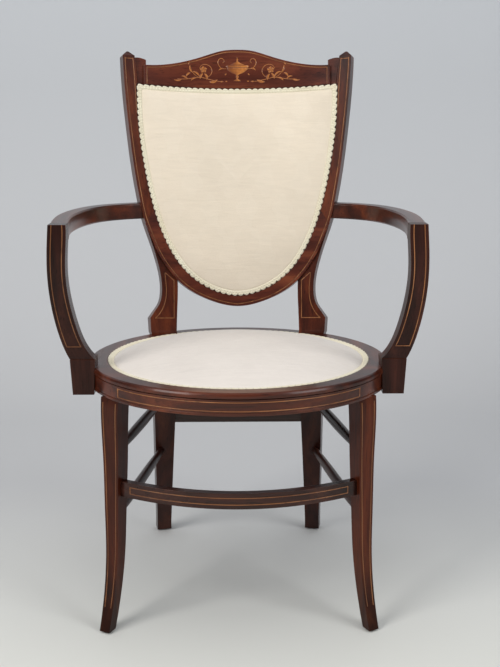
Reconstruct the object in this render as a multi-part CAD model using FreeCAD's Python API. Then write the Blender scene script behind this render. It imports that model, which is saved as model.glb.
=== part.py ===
import FreeCAD, Part

import math
import os

# Shield back elbow chair, in millimetres, +Z up, the sitter facing -Y.
# Every piece is first placed about the centre of the oval seat frame; at the
# end the whole chair is moved so that its bounding box stands centred on the origin.

# Seat frame
SEAT_WIDTH = 494.0            # overall width of the oval seat frame
SEAT_DEPTH = 460.0            # overall depth of the oval seat frame
SEAT_TOP = 425.0              # height of the show-wood rim
RAIL_HEIGHT = 35.0            # depth of the seat rails
RAIL_WIDTH = 48.0             # thickness of the seat rails in plan
RIM_HEIGHT = 8.5              # rounded moulding along the top
RIM_ROUND = 4.2
QUIRK_HEIGHT = 2.0            # dark groove under the rim
QUIRK_DEPTH = 3.0
FOOT_BEAD_HEIGHT = 4.0        # plain fillet along the bottom
FOOT_BEAD_PROUD = 1.2
RIM_SIDES = 30.0              # width of polished rim beside the cushion
RIM_ENDS = 25.0               # and in front of it and behind it
TACKING_REBATE = 3.2          # depth of the rebate that the upholstery lies in
FRONT_JOINT_ANGLE = -15.0     # place of the joint hidden behind the arm support
RAIL_TENON_THICK = 8.0        # loose tenons across the joints of the seat frame
RAIL_TENON_LENGTH = 40.0
RAIL_TENON_HEIGHT = 18.0
REAR_TENON_INSET = 7.0        # from the rail's inner face, clear of the rear leg
GLUE_BLOCK_LENGTH = 60.0
GLUE_BLOCK_THICK = 20.0
GLUE_BLOCK_HEIGHT = 24.0
SCREW_RADIUS = 2.0
SCREW_HEAD_RADIUS = 4.0
SCREW_HEAD_HEIGHT = 2.5

# Back frame. Outlines are drawn on its concave front face: x across, w up the slope.
BACK_SETBACK = 165.0          # from the seat centre to the back's plane at BACK_DATUM
BACK_DATUM = 430.0
BACK_LEAN = 11.3              # degrees
BACK_RADIUS = 650.0           # curve of the back in plan
BACK_HOLLOW = 12.0            # how far the middle lies behind the back's plane
STILE_TOP = 497.0
STILE_OUTER_TOP = 204.5
STILE_INNER_TOP = 184.0
STILE_CAP_RISE = 9.0
STILE_THICK_TOP = 24.0
STILE_THICK_FOOT = 34.0
UPRIGHT_RECESS = 4.0          # lower upright's face behind the shield's face
POCKET_OVERLAP = 2.0          # how far that recess runs in under the bow
UPRIGHT_INNER = 111.0         # lower upright's inner edge
UPRIGHT_FOOT_OUTER = 158.0
SHIELD_TOP = 448.0            # upper corners of the upholstered shield
SHIELD_TOP_SAG = 4.0
SHIELD_HALF_WIDTH = 181.0
SHIELD_BOTTOM = 65.5
SHIELD_LAP = 16.0             # width of the tacking rebate round the shield
SHIELD_REBATE = 3.0           # its depth, on the front
SHIELD_REAR_REBATE = 3.0      # its depth, on the back
BOW_BOTTOM = 47.0
BOW_THICK = 22.0
LAP_DEPTH = 12.0              # depth of the half lap of the bow on the stile
CREST_THICK = 22.0
CREST_HUMP = 514.0
CREST_LOW = 483.0
CREST_END = 167.0             # half width of the crest's raised panel
EAR_TOP = 495.0
EAR_RECESS = 6.0
CREST_TENON = 14.0
CREST_TENON_THICK = 8.0

# Rear legs below the seat
REAR_LEG_RAKE = 97.0
REAR_LEG_KNEE = 183.0
REAR_FOOT_SPREAD = 150.0
REAR_FOOT_WIDTH = 28.0
REAR_FOOT_DEPTH = 24.0
REAR_LEG_TURN = 12.0

# Front legs
FRONT_LEG_X = 194.0
FRONT_LEG_Y = -113.0
FRONT_LEG_TURN = 29.0
FRONT_LEG_TOP_SIZE = 32.0
FRONT_LEG_FOOT_SIZE = 18.5
FRONT_LEG_LEAN = 9.0
FRONT_LEG_SPLAY_X = 11.0
FRONT_LEG_SPLAY_Y = 28.0
SPLAY_START = 150.0
LEG_TENON_SIZE = 16.0
LEG_TENON_LENGTH = 24.0
GLIDE_HEIGHT = 3.0

# Stretchers
FRONT_STRETCHER_BOTTOM = 226.0
FRONT_STRETCHER_HEIGHT = 25.0
FRONT_STRETCHER_THICK = 14.0
FRONT_STRETCHER_BOW = 62.0
REAR_STRETCHER_BOTTOM = 249.0
REAR_STRETCHER_HEIGHT = 20.0
REAR_STRETCHER_THICK = 12.0
LOWER_SIDE_HEIGHT = 190.0
UPPER_SIDE_HEIGHT = 297.0
SIDE_STRETCHER_RADIUS = 7.0
SIDE_STRETCHER_TIP = 5.0
SIDE_STRETCHER_PIN = 3.5      # radius of the round tenons on its ends

# Arms and their supports
ARM_TOP = 660.0
ARM_HEIGHT = 27.5
ARM_ROUND = 2.5
ARM_WIDTH = 27.0
ARM_REACH = 171.0             # x where the arm's centre line starts, inside the stile
ARM_FRONT_Y = -127.0
SUPPORT_TOP_OUTER = 287.0
SUPPORT_TOP_WIDTH = 27.0
SUPPORT_DEPTH = 27.0
SUPPORT_BLOCK_OUTER = 268.0
SUPPORT_BLOCK_INNER = 228.0
SUPPORT_BLOCK_TAPER = 3.0      # how far the block draws in towards its foot
SUPPORT_BLOCK_DROP = 7.0      # how far it hangs below the seat rail
SUPPORT_BLOCK_RISE = 15.5     # how far it stands above the rim
SUPPORT_BLOCK_FRONT = -84.0
SUPPORT_BLOCK_DEPTH = 40.0
ARM_TENON_LENGTH = 32.0
ARM_TENON_SIZE = 9.0

# Upholstery
SEAT_CROWN = 20.0
CUSHION_SIDE = 7.0            # height of the cushion's drawn-in side
CUSHION_DRAW = 3.0            # how far that side leans in
BACK_CROWN = 12.0
COVER_THICK = 1.2
WEB_WIDTH = 50.0
WEB_THICK = 1.5
HESSIAN_THICK = 1.0
GIMP_WIDTH = 10.0
GIMP_THICK = 2.8
DUST_THICK = 0.8
PAD_SIDE = -4.0               # front of the back pad's side, before the shield's face
PAD_DRAW = 2.0
PAD_TOP_DROP = 2.9            # clears the gimp where the shield's top edge sags
PAD_SECTIONS = 11
WEB_INSET = 4.5               # ends of the webbing, inside the gimp
REAR_INSET = 4.0              # the outside back's edge, inside the front one
SOFT_CLEARANCE = 0.3

# Inlay
STRING_WIDTH = 1.3
STRING_DEPTH = 1.0
STRING_PROUD = 0.25             # so that each line shows on a curved face
STRING_MARGIN = 4.0
SUPPORT_MARGIN = 5.5
SUPPORT_PANEL_FOOT = 463.5    # height of the line that closes the support's panel
LEG_MARGIN = 4.0
LEG_PANEL_TOP = 8.0           # below the seat rail
LEG_PANEL_FOOT = 40.0
RAIL_FACE = 1.5               # the frieze lies this far inside the rim's edge
RAIL_LINE_LOW = 6.5
RAIL_LINE_HIGH = 20.0
RAIL_LINE_END = 186.0         # half length of the seat rail's panel
STRETCHER_MARGIN = 6.5
STRETCHER_LINE_END = 24.0
SUPPORT_SCREW_LENGTH = 58.0
SUPPORT_SCREW_RISE = 4.2         # above the rail's foot, under the loose tenon
GLIDE_RADIUS = 8.0
GLIDE_PIN_RADIUS = 1.2
GLIDE_PIN_LENGTH = 12.0

JOINT_CLEARANCE = 0.1
LONG = 1200.0

V = FreeCAD.Vector
UP = V(0, 0, 1)
SIDES = (("left", -1), ("right", 1))
RAIL_BOTTOM = SEAT_TOP - RAIL_HEIGHT
BACK_FRAME = FreeCAD.Placement(V(0, BACK_SETBACK, BACK_DATUM),
                               FreeCAD.Rotation(V(1, 0, 0), -BACK_LEAN))


# Helpers for curves and solids

def curve(points):
    """One edge: a line through two points, a smooth curve through more."""
    if len(points) == 2:
        return Part.makeLine(points[0], points[1])
    spline = Part.BSplineCurve()
    spline.interpolate(points)
    return spline.toShape()


def closed_wire(runs):
    """Closed wire of runs of points, where each run ends where the next one starts."""
    return Part.Wire([curve(run) for run in runs])


def slab(runs, bottom, height):
    """Upright prism over a plan outline given as runs of (x, y) points."""
    wire = closed_wire([[V(x, y, bottom) for x, y in run] for run in runs])
    return Part.Face(wire).extrude(V(0, 0, height))


def oval(inset, bottom, height):
    """Upright prism over the seat's oval, drawn in from its outer edge."""
    long_axis, short_axis = SEAT_WIDTH / 2 - inset, SEAT_DEPTH / 2 - inset
    edge = Part.Ellipse(V(0, 0, bottom), long_axis, short_axis).toShape()
    return Part.Face(Part.Wire(edge)).extrude(V(0, 0, height))


def oval_stack(levels):
    """Oval solid with moulded sides, ruled between (inset, height) levels."""
    wires = []
    for inset, z in levels:
        edge = Part.Ellipse(V(0, 0, z), SEAT_WIDTH / 2 - inset, SEAT_DEPTH / 2 - inset)
        wires.append(Part.Wire(edge.toShape()))
    return Part.makeLoft(wires, True, True)


def planed_rod(start, direction, profile):
    """Twelve-sided rounded piece with (distance, radius) stations along its axis."""
    wires = []
    for along, radius in profile:
        corners = [V(radius, 0, along)]
        for step in range(1, 12):
            corners.append(FreeCAD.Rotation(UP, step * 30).multVec(corners[0]))
        wires.append(Part.makePolygon(corners + corners[:1]))
    solid = Part.makeLoft(wires, True, True)
    solid.Placement = FreeCAD.Placement(start, FreeCAD.Rotation(UP, direction))
    return solid


def mirrored(shape, side):
    """The right-hand shape, or its mirror image for the left."""
    return shape if side > 0 else shape.mirror(V(0, 0, 0), V(1, 0, 0))


def rod(start, end, radius):
    """Round rod between two points."""
    run = end - start
    return Part.makeCylinder(radius, run.Length, start, run)


def box_at(centre, length, width, height, turn=0.0):
    """Box about a centre point, turned about Z."""
    box = Part.makeBox(length, width, height, V(-length / 2, -width / 2, -height / 2))
    box.Placement = FreeCAD.Placement(centre, FreeCAD.Rotation(UP, turn))
    return box


def rectangle(centre, across, deep, turn):
    """Horizontal rectangle as a closed wire, turned about Z."""
    corners = [V(sx * across / 2, sy * deep / 2, 0)
               for sx, sy in ((-1, -1), (1, -1), (1, 1), (-1, 1))]
    turned = [centre + FreeCAD.Rotation(UP, turn).multVec(c) for c in corners]
    return Part.makePolygon(turned + turned[:1])


# Helpers for the back frame

def back_point(x, w, depth=0.0):
    """Point at x and w on the concave front face, or so far behind it along the radius."""
    angle = math.asin(x / BACK_RADIUS)
    reach = BACK_RADIUS + depth
    return V(reach * math.sin(angle), reach * math.cos(angle) - BACK_RADIUS + BACK_HOLLOW, w)


def in_room(shape):
    """A back piece leaned into its place on the chair."""
    moved = shape.copy()
    moved.Placement = BACK_FRAME.multiply(moved.Placement)
    return moved


def back_prism(runs):
    """Prism over an outline on the front face, with its sides square to the curve."""
    wires = []
    for y in (-90.0, 90.0):
        spread = y - BACK_HOLLOW + BACK_RADIUS
        wires.append(closed_wire([[V(spread * x / math.sqrt(BACK_RADIUS ** 2 - x ** 2), y, w)
                                   for x, w in run] for run in runs]))
    return Part.makeLoft(wires, True, True)


def curved_layer(front, rear):
    """The layer of the curved back between two depths behind its front face."""
    base = V(0, BACK_HOLLOW - BACK_RADIUS, -200)
    outer = Part.makeCylinder(BACK_RADIUS + rear, LONG, base)
    return outer.cut(Part.makeCylinder(BACK_RADIUS + front, LONG, base))


def mirror_runs(run):
    """The same run of outline points on the left, in the other order."""
    return [(-x, w) for x, w in reversed(run)]


def shield_run(inset):
    """Right side of the shield, from the upper corner to the middle of the bottom."""
    points = [(SHIELD_HALF_WIDTH, SHIELD_TOP), (179.0, 380.0), (170.0, 308.0), (154.5, 233.0),
              (129.0, 161.0), (97.0, 112.0), (55.0, 80.0), (0.0, SHIELD_BOTTOM)]
    return inset_run(points, inset)


def inset_run(points, inset):
    """A run of outline points drawn in towards the shield's middle."""
    drawn = []
    for i, (x, w) in enumerate(points):
        ax, aw = points[max(i - 1, 0)]
        bx, bw = points[min(i + 1, len(points) - 1)]
        length = math.hypot(bx - ax, bw - aw)
        nx, nw = (bw - aw) / length, -(bx - ax) / length
        if i == len(points) - 1:
            nx, nw = 0.0, 1.0
        if i == 0:
            nx, nw = -1.0, -1.0
        drawn.append((x + nx * inset, w + nw * inset))
    return drawn


def shield_runs(inset):
    """The whole shield outline: sides, bottom and the sagging top edge."""
    right = shield_run(inset)
    left = mirror_runs(right)
    corner_x, corner_w = right[0]
    top = [(-corner_x, corner_w), (0.0, corner_w - SHIELD_TOP_SAG), (corner_x, corner_w)]
    whole = right + left[1:]
    return [whole, top]


def bow_outer_run():
    """Right side of the bow's outer edge, from the stile to the middle of the bottom."""
    return [(166.5, 196.0), (157.5, 176.0), (147.5, 150.0), (131.0, 121.5), (110.0, 95.0),
            (90.0, 78.0), (57.0, 60.5), (0.0, BOW_BOTTOM)]


# Back frame: stiles with rear legs, crest rail and bow

def stile_outer_run():
    """Outer edge of the stile, from its top to its foot on the seat."""
    return [(STILE_OUTER_TOP, STILE_TOP), (200.5, 430.0), (194.5, 370.0), (186.0, 300.0),
            (176.0, 240.0), (167.0, 200.0), (155.5, 165.0), (145.0, 130.0), (138.5, 100.0),
            (137.0, 78.0), (141.0, 53.0), (150.0, 38.0), (UPRIGHT_FOOT_OUTER, 26.0)]


def stile_blank():
    """Right stile and lower upright before it is jointed."""
    outer = stile_outer_run()
    inner = shield_run(SHIELD_LAP)
    opening = [point for point in inner if point[1] > 200.0]
    lower = [opening[-1], (UPRIGHT_INNER + 6.0, 150.0), (UPRIGHT_INNER - 2.0, 95.0),
             (UPRIGHT_INNER - 2.0, 60.0), (UPRIGHT_INNER, 0.0)]
    runs = [outer,
            [outer[-1], (UPRIGHT_FOOT_OUTER - 1.5, 0.0)],
            [(UPRIGHT_FOOT_OUTER - 1.5, 0.0), (UPRIGHT_INNER, 0.0)],
            list(reversed(lower)),
            list(reversed(opening)),
            [opening[0], (SHIELD_HALF_WIDTH - 2.0, SHIELD_TOP)],
            [(SHIELD_HALF_WIDTH - 2.0, SHIELD_TOP), (STILE_INNER_TOP, STILE_TOP)],
            [(STILE_INNER_TOP, STILE_TOP), outer[0]]]
    flare = math.degrees(math.atan((STILE_THICK_FOOT - STILE_THICK_TOP) / STILE_TOP))
    base = V(0, BACK_HOLLOW - BACK_RADIUS, -200)
    rear = Part.makeCylinder(BACK_RADIUS + STILE_THICK_FOOT, LONG, base)
    rear.rotate(V(0, BACK_HOLLOW, 0), V(1, 0, 0), flare)
    front = Part.makeCylinder(BACK_RADIUS, LONG, base)
    return back_prism(runs).common(rear).cut(front)


def stile_cap():
    """Low pyramid on top of the stile."""
    low = [back_point(STILE_INNER_TOP, STILE_TOP), back_point(STILE_OUTER_TOP, STILE_TOP),
           back_point(STILE_OUTER_TOP, STILE_TOP, STILE_THICK_TOP),
           back_point(STILE_INNER_TOP, STILE_TOP, STILE_THICK_TOP)]
    middle = (low[0] + low[1] + low[2] + low[3]) * 0.25
    high = [middle + (corner - middle) * 0.15 + UP * STILE_CAP_RISE for corner in low]
    wires = [Part.makePolygon(ring + ring[:1]) for ring in (low, high)]
    return Part.makeLoft(wires, True, True)


def rear_leg_below():
    """The raked leg under the seat, from the foot block to the glide."""
    foot = [back_point(UPRIGHT_INNER, 2.0, UPRIGHT_RECESS),
            back_point(UPRIGHT_FOOT_OUTER - 1.5, 2.0, UPRIGHT_RECESS),
            back_point(UPRIGHT_FOOT_OUTER - 1.5, 2.0, STILE_THICK_FOOT),
            back_point(UPRIGHT_INNER, 2.0, STILE_THICK_FOOT)]
    top = [BACK_FRAME.multVec(corner) for corner in foot]
    wires = [Part.makePolygon(top + top[:1])]
    head_x = (UPRIGHT_INNER + UPRIGHT_FOOT_OUTER) / 2
    head_width = UPRIGHT_FOOT_OUTER - UPRIGHT_INNER - 2.0
    head_depth = STILE_THICK_FOOT - UPRIGHT_RECESS
    for fall in (0.0, 0.15, 0.35, 0.55, 0.75, 0.9, 1.0):
        z = RAIL_BOTTOM + (GLIDE_HEIGHT - RAIL_BOTTOM) * fall
        narrow = min(1.0, fall / 0.9)
        centre = V(head_x + (REAR_FOOT_SPREAD - head_x) * fall,
                   REAR_LEG_KNEE + REAR_LEG_RAKE * fall ** 1.5, z)
        wires.append(rectangle(centre, head_width + (REAR_FOOT_WIDTH - head_width) * narrow,
                               head_depth + (REAR_FOOT_DEPTH - head_depth) * narrow,
                               -REAR_LEG_TURN))
    return Part.makeLoft(wires, True, False)


def upright_pocket():
    """What is planed off the lower upright so that the shield stands proud of it."""
    edge = offset_run(bow_outer_run(), POCKET_OVERLAP)
    runs = [edge, [edge[-1], (0.0, -60.0)], [(0.0, -60.0), (230.0, -60.0)],
            [(230.0, -60.0), (230.0, edge[0][1])], [(230.0, edge[0][1]), edge[0]]]
    return back_prism(runs).common(curved_layer(-60.0, UPRIGHT_RECESS))


def shield_rebates():
    """Tacking rebates round the shield opening, on the front and on the back."""
    front = back_prism(shield_runs(0.0)).common(curved_layer(-60.0, SHIELD_REBATE))
    rear = back_prism(shield_runs(REAR_INSET)).common(
        curved_layer(BOW_THICK - SHIELD_REAR_REBATE, 80.0))
    return front, rear


def crest_top_run():
    """The crest's serpentine top edge, from left to right."""
    right = [(0.0, CREST_HUMP), (25.0, CREST_HUMP - 1.7), (55.0, CREST_HUMP - 10.5),
             (90.0, CREST_LOW + 9.5), (125.0, CREST_LOW + 2.0), (CREST_END, CREST_LOW - 1.0)]
    return mirror_runs(right) + right[1:]


def crest_blank():
    """Crest rail: humped panel between two recessed ears, tenoned into the stiles."""
    low = SHIELD_TOP - SHIELD_LAP
    top = crest_top_run()
    end_w = top[-1][1]
    runs = [top, [(CREST_END, end_w), (CREST_END, low)],
            [(CREST_END, low), (0.0, low - SHIELD_TOP_SAG), (-CREST_END, low)],
            [(-CREST_END, low), (-CREST_END, end_w)]]
    panel = back_prism(runs).common(curved_layer(0.0, CREST_THICK))
    ear_end = STILE_INNER_TOP - 1.0
    ear = [[(CREST_END - 4.0, EAR_TOP - 3.0), (CREST_END + 6.0, EAR_TOP), (ear_end, EAR_TOP)],
           [(ear_end, EAR_TOP), (SHIELD_HALF_WIDTH - 6.0, low)],
           [(SHIELD_HALF_WIDTH - 6.0, low), (CREST_END - 4.0, low)],
           [(CREST_END - 4.0, low), (CREST_END - 4.0, EAR_TOP - 3.0)]]
    tenon = [[(CREST_END, EAR_TOP - 12.0), (ear_end + CREST_TENON - 3.0, EAR_TOP - 12.0)],
             [(ear_end + CREST_TENON - 3.0, EAR_TOP - 12.0), (ear_end + CREST_TENON - 6.0, low + 6.0)],
             [(ear_end + CREST_TENON - 6.0, low + 6.0), (CREST_END, low + 6.0)],
             [(CREST_END, low + 6.0), (CREST_END, EAR_TOP - 12.0)]]
    middle = (EAR_RECESS + CREST_THICK) / 2
    ear_solid = back_prism(ear).common(curved_layer(EAR_RECESS, CREST_THICK))
    tenon_solid = back_prism(tenon).common(
        curved_layer(middle - CREST_TENON_THICK / 2, middle + CREST_TENON_THICK / 2))
    shape = panel
    for side in (-1, 1):
        shape = shape.fuse([mirrored(ear_solid, side), mirrored(tenon_solid, side)])
    return shape.removeSplitter()


def bow_blank():
    """The shield's curved lower rail, lapped on the fronts of the stiles."""
    outer_right = bow_outer_run()
    outer = outer_right + mirror_runs(outer_right)[1:]
    inner_right = [point for point in shield_run(SHIELD_LAP) if point[1] < 240.0]
    inner = inner_right + mirror_runs(inner_right)[1:]
    start, end = outer[0], inner[0]
    runs = [outer, [outer[-1], inner[-1]], list(reversed(inner)), [end, start]]
    return back_prism(runs).common(curved_layer(0.0, BOW_THICK))


def build_back_frame():
    """Rear legs, crest rail and bow, jointed to each other, still in the back's own frame."""
    front_rebate, rear_rebate = shield_rebates()
    stile = stile_blank().cut(upright_pocket()).fuse(stile_cap())
    bow = bow_blank()
    seat_of_lap = stile.common(curved_layer(LAP_DEPTH, 80.0))
    for side in (-1, 1):
        bow = bow.cut(mirrored(seat_of_lap, side))
    bow = bow.cut(front_rebate).cut(rear_rebate)
    crest = crest_blank()
    crest = crest.cut(front_rebate).cut(rear_rebate)
    stile = stile.cut(bow).cut(crest).cut(front_rebate).cut(rear_rebate)
    return stile, crest, bow


# Seat frame

def ring_blank():
    """The whole oval seat frame with its moulded edge, before it is parted."""
    bead_top = RAIL_BOTTOM + FOOT_BEAD_HEIGHT
    rim_bottom = SEAT_TOP - RIM_HEIGHT
    quirk_bottom = rim_bottom - QUIRK_HEIGHT
    turn = RIM_ROUND * 0.3
    solid = oval(RAIL_FACE - FOOT_BEAD_PROUD, RAIL_BOTTOM, FOOT_BEAD_HEIGHT)
    solid = solid.fuse([
        oval(RAIL_FACE, bead_top, quirk_bottom - bead_top),
        oval(RAIL_FACE + QUIRK_DEPTH, quirk_bottom, QUIRK_HEIGHT),
        oval_stack([(0.0, rim_bottom), (0.0, SEAT_TOP - RIM_ROUND),
                    (turn, SEAT_TOP - turn), (RIM_ROUND, SEAT_TOP)])])
    solid = solid.cut(oval(RAIL_WIDTH, RAIL_BOTTOM - 1, RAIL_HEIGHT + 2))
    return solid.cut(cushion_oval(0.0, SEAT_TOP - TACKING_REBATE, TACKING_REBATE + 1))


def sector(start, end):
    """Wide wedge in plan between two directions from the seat's centre."""
    steps = 4
    angles = [math.radians(start + (end - start) * i / steps) for i in range(steps + 1)]
    points = [V(0, 0, 0)] + [V(LONG * math.cos(a), LONG * math.sin(a), 0) for a in angles]
    face = Part.Face(Part.makePolygon(points + points[:1]))
    return face.extrude(V(0, 0, LONG))


def rear_joint_angle():
    """Direction of the rear leg's middle from the seat's centre."""
    return math.degrees(math.atan2(REAR_LEG_KNEE, (UPRIGHT_INNER + UPRIGHT_FOOT_OUTER) / 2))


def joint_point(angle, z, inset):
    """Point inside the seat's oval edge, in a direction from the seat's centre."""
    a, b = SEAT_WIDTH / 2 - inset, SEAT_DEPTH / 2 - inset
    c, s = math.cos(math.radians(angle)), math.sin(math.radians(angle))
    reach = 1.0 / math.hypot(c / a, s / b)
    return V(reach * c, reach * s, z)


def rail_tenons(clearance):
    """One loose tenon across each joint in the seat frame, or its mortise with a clearance."""
    tenons = []
    joints = ((FRONT_JOINT_ANGLE, RAIL_WIDTH / 2),
              (rear_joint_angle(), RAIL_WIDTH - REAR_TENON_INSET))
    for angle, inset in joints + tuple((180.0 - a, i) for a, i in joints):
        middle = joint_point(angle, RAIL_BOTTOM + RAIL_HEIGHT / 2 - 1.0, inset)
        tenons.append(box_at(middle, RAIL_TENON_THICK + 2 * clearance,
                             RAIL_TENON_LENGTH + 2 * clearance,
                             RAIL_TENON_HEIGHT + 2 * clearance, angle))
    return tenons


# Front legs

def front_leg_stations():
    """Centre and size of the right front leg's square section, from the top down."""
    stations = []
    for rise in (1.0, 0.75, 0.5, 0.36, 0.25, 0.15, 0.07, 0.0):
        z = GLIDE_HEIGHT + (RAIL_BOTTOM - GLIDE_HEIGHT) * rise
        splay = max(0.0, 1.0 - (z - GLIDE_HEIGHT) / SPLAY_START) ** 2
        size = FRONT_LEG_FOOT_SIZE + (FRONT_LEG_TOP_SIZE - FRONT_LEG_FOOT_SIZE) * rise ** 1.1
        centre = V(FRONT_LEG_X + FRONT_LEG_LEAN * (1.0 - rise) + FRONT_LEG_SPLAY_X * splay,
                   FRONT_LEG_Y - FRONT_LEG_SPLAY_Y * splay, z)
        stations.append((centre, size))
    return stations


def front_leg_blank():
    """Square tapered leg, turned in plan and splayed at the foot."""
    wires = [rectangle(centre, size, size, FRONT_LEG_TURN)
             for centre, size in front_leg_stations()]
    return Part.makeLoft(wires, True, False)


def leg_tenon(clearance):
    """Square tenon on top of a front leg, or its mortise with a clearance."""
    size = LEG_TENON_SIZE + 2 * clearance
    length = LEG_TENON_LENGTH + clearance
    middle = V(FRONT_LEG_X, FRONT_LEG_Y, RAIL_BOTTOM + length / 2)
    return box_at(middle, size, size, length, FRONT_LEG_TURN)


# Stretchers

def front_leg_centre(z):
    """Middle of the right front leg at a height."""
    rise = (z - GLIDE_HEIGHT) / (RAIL_BOTTOM - GLIDE_HEIGHT)
    return V(FRONT_LEG_X + FRONT_LEG_LEAN * (1.0 - rise), FRONT_LEG_Y, z)


def rear_leg_centre(z):
    """Middle of the right rear leg at a height."""
    fall = (RAIL_BOTTOM - z) / (RAIL_BOTTOM - GLIDE_HEIGHT)
    head_x = (UPRIGHT_INNER + UPRIGHT_FOOT_OUTER) / 2
    return V(head_x + (REAR_FOOT_SPREAD - head_x) * fall,
             REAR_LEG_KNEE + REAR_LEG_RAKE * fall ** 1.5, z)


def side_stretcher(z):
    """Slim rounded rail between front and rear leg, swelling a little, and its end pins."""
    start, end = front_leg_centre(z), rear_leg_centre(z)
    length = (end - start).Length
    profile = ((0.0, SIDE_STRETCHER_TIP), (length * 0.1, SIDE_STRETCHER_TIP + 0.5),
               (length * 0.22, SIDE_STRETCHER_RADIUS - 0.4), (length * 0.4, SIDE_STRETCHER_RADIUS),
               (length * 0.6, SIDE_STRETCHER_RADIUS - 0.6), (length, SIDE_STRETCHER_TIP))
    return planed_rod(start, end - start, profile), rod(start, end, SIDE_STRETCHER_PIN)


def front_stretcher_blank():
    """Bowed flat rail between the front legs."""
    z = FRONT_STRETCHER_BOTTOM + FRONT_STRETCHER_HEIGHT / 2
    end = front_leg_centre(z)
    x = end.x - 4.0
    back_half = FRONT_STRETCHER_THICK / 2
    front = [(-x, end.y - back_half), (0.0, end.y - FRONT_STRETCHER_BOW - back_half),
             (x, end.y - back_half)]
    rear = [(x, end.y + back_half), (0.0, end.y - FRONT_STRETCHER_BOW + back_half),
            (-x, end.y + back_half)]
    shape = slab([front, [front[-1], rear[0]], rear, [rear[-1], front[0]]],
                 FRONT_STRETCHER_BOTTOM, FRONT_STRETCHER_HEIGHT)
    return shape


def rear_stretcher_blank():
    """Straight flat rail between the rear legs."""
    z = REAR_STRETCHER_BOTTOM + REAR_STRETCHER_HEIGHT / 2
    end = rear_leg_centre(z)
    return box_at(V(0, end.y, z), 2 * (end.x - 4.0), REAR_STRETCHER_THICK,
                  REAR_STRETCHER_HEIGHT)


# Arms

def arm_plan(half_width):
    """Inner and outer edges of the right arm in plan, from the stile to the support."""
    centre = [(ARM_REACH, 214.0), (206.0, 198.0), (242.0, 166.0), (267.0, 112.0),
              (280.0, 40.0), (281.0, -30.0), (SUPPORT_TOP_OUTER - SUPPORT_TOP_WIDTH / 2,
                                             ARM_FRONT_Y + SUPPORT_DEPTH)]
    edges = []
    for sign in (-1, 1):
        run = []
        for i, (x, y) in enumerate(centre):
            ax, ay = centre[max(i - 1, 0)]
            bx, by = centre[min(i + 1, len(centre) - 1)]
            length = math.hypot(bx - ax, by - ay)
            reach = sign * half_width / length
            run.append((x - (by - ay) * reach, y + (bx - ax) * reach))
        edges.append(run)
    return edges


def arm_blank():
    """Level curved arm with softened edges."""
    inner, outer = arm_plan(ARM_WIDTH / 2)
    runs = [inner, [inner[-1], outer[-1]], list(reversed(outer)), [outer[0], inner[0]]]
    arm = slab(runs, ARM_TOP - ARM_HEIGHT, ARM_HEIGHT)
    long_edges = [e for e in arm.Edges if e.BoundBox.ZLength < 0.01 and e.Length > 100.0]
    return arm.makeChamfer(ARM_ROUND, long_edges)


def support_stations():
    """Height, outer edge, width and front of the arm support, from its top down."""
    return ((ARM_TOP, SUPPORT_TOP_OUTER, SUPPORT_TOP_WIDTH, ARM_FRONT_Y),
            (601.0, 291.0, 28.0, -124.5), (551.0, 290.0, 28.5, -118.0),
            (500.0, 283.5, 30.5, -106.0), (464.0, 275.5, 33.0, -94.0),
            (SEAT_TOP + SUPPORT_BLOCK_RISE, SUPPORT_BLOCK_OUTER - 0.5,
             SUPPORT_BLOCK_OUTER - 0.5 - SUPPORT_BLOCK_INNER, SUPPORT_BLOCK_FRONT + 1.0))


def support_blank():
    """Curved arm support, from the block beside the seat rail up to the arm's top."""
    wires = []
    for z, outer, width, front in support_stations():
        middle = V(outer - width / 2, front + SUPPORT_DEPTH / 2, z)
        wires.append(rectangle(middle, width, SUPPORT_DEPTH, 0.0))
    shaft = Part.makeLoft(wires, True, False)
    top = SEAT_TOP + SUPPORT_BLOCK_RISE
    bottom = RAIL_BOTTOM - SUPPORT_BLOCK_DROP
    face = Part.Face(Part.makePolygon([
        V(SUPPORT_BLOCK_INNER, SUPPORT_BLOCK_FRONT, top),
        V(SUPPORT_BLOCK_OUTER, SUPPORT_BLOCK_FRONT, top),
        V(SUPPORT_BLOCK_OUTER - SUPPORT_BLOCK_TAPER, SUPPORT_BLOCK_FRONT, bottom),
        V(SUPPORT_BLOCK_INNER + SUPPORT_BLOCK_TAPER, SUPPORT_BLOCK_FRONT, bottom),
        V(SUPPORT_BLOCK_INNER, SUPPORT_BLOCK_FRONT, top)]))
    return shaft.fuse(face.extrude(V(0, SUPPORT_BLOCK_DEPTH, 0)))


# Upholstery

def seat_dome(inset, bottom, side_height, crown):
    """Oval cushion with drawn-in sides under a crown that is part of a ball."""
    reach = side_height + crown + 1.0
    lean = CUSHION_DRAW / CUSHION_SIDE * reach
    long_half, short_half = SEAT_WIDTH / 2 - RIM_SIDES, SEAT_DEPTH / 2 - RIM_ENDS
    wires = []
    for drawn, z in ((inset, bottom), (inset + lean, bottom + reach)):
        edge = Part.Ellipse(V(0, 0, z), long_half - drawn, short_half - drawn).toShape()
        wires.append(Part.Wire(edge))
    half = (long_half + short_half) / 2 - inset - CUSHION_DRAW
    radius = (half ** 2 + crown ** 2) / (2 * crown)
    ball = Part.makeSphere(radius)
    ball.Placement = FreeCAD.Placement(V(0, 0, bottom + side_height + crown - radius),
                                       FreeCAD.Rotation(V(0, 1, 0), 90))
    return Part.makeLoft(wires, True, True).common(ball)


def web_strips(count, pitch, length, along_x, bottom):
    """Parallel straps of webbing, side by side across the seat."""
    strips = []
    for i in range(count):
        offset = (i - (count - 1) / 2) * pitch
        size = (length, WEB_WIDTH) if along_x else (WEB_WIDTH, length)
        corner = V(-length / 2, offset - WEB_WIDTH / 2, bottom)
        if not along_x:
            corner = V(offset - WEB_WIDTH / 2, -length / 2, bottom)
        strips.append(Part.makeBox(size[0], size[1], WEB_THICK, corner))
    return strips


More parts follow.
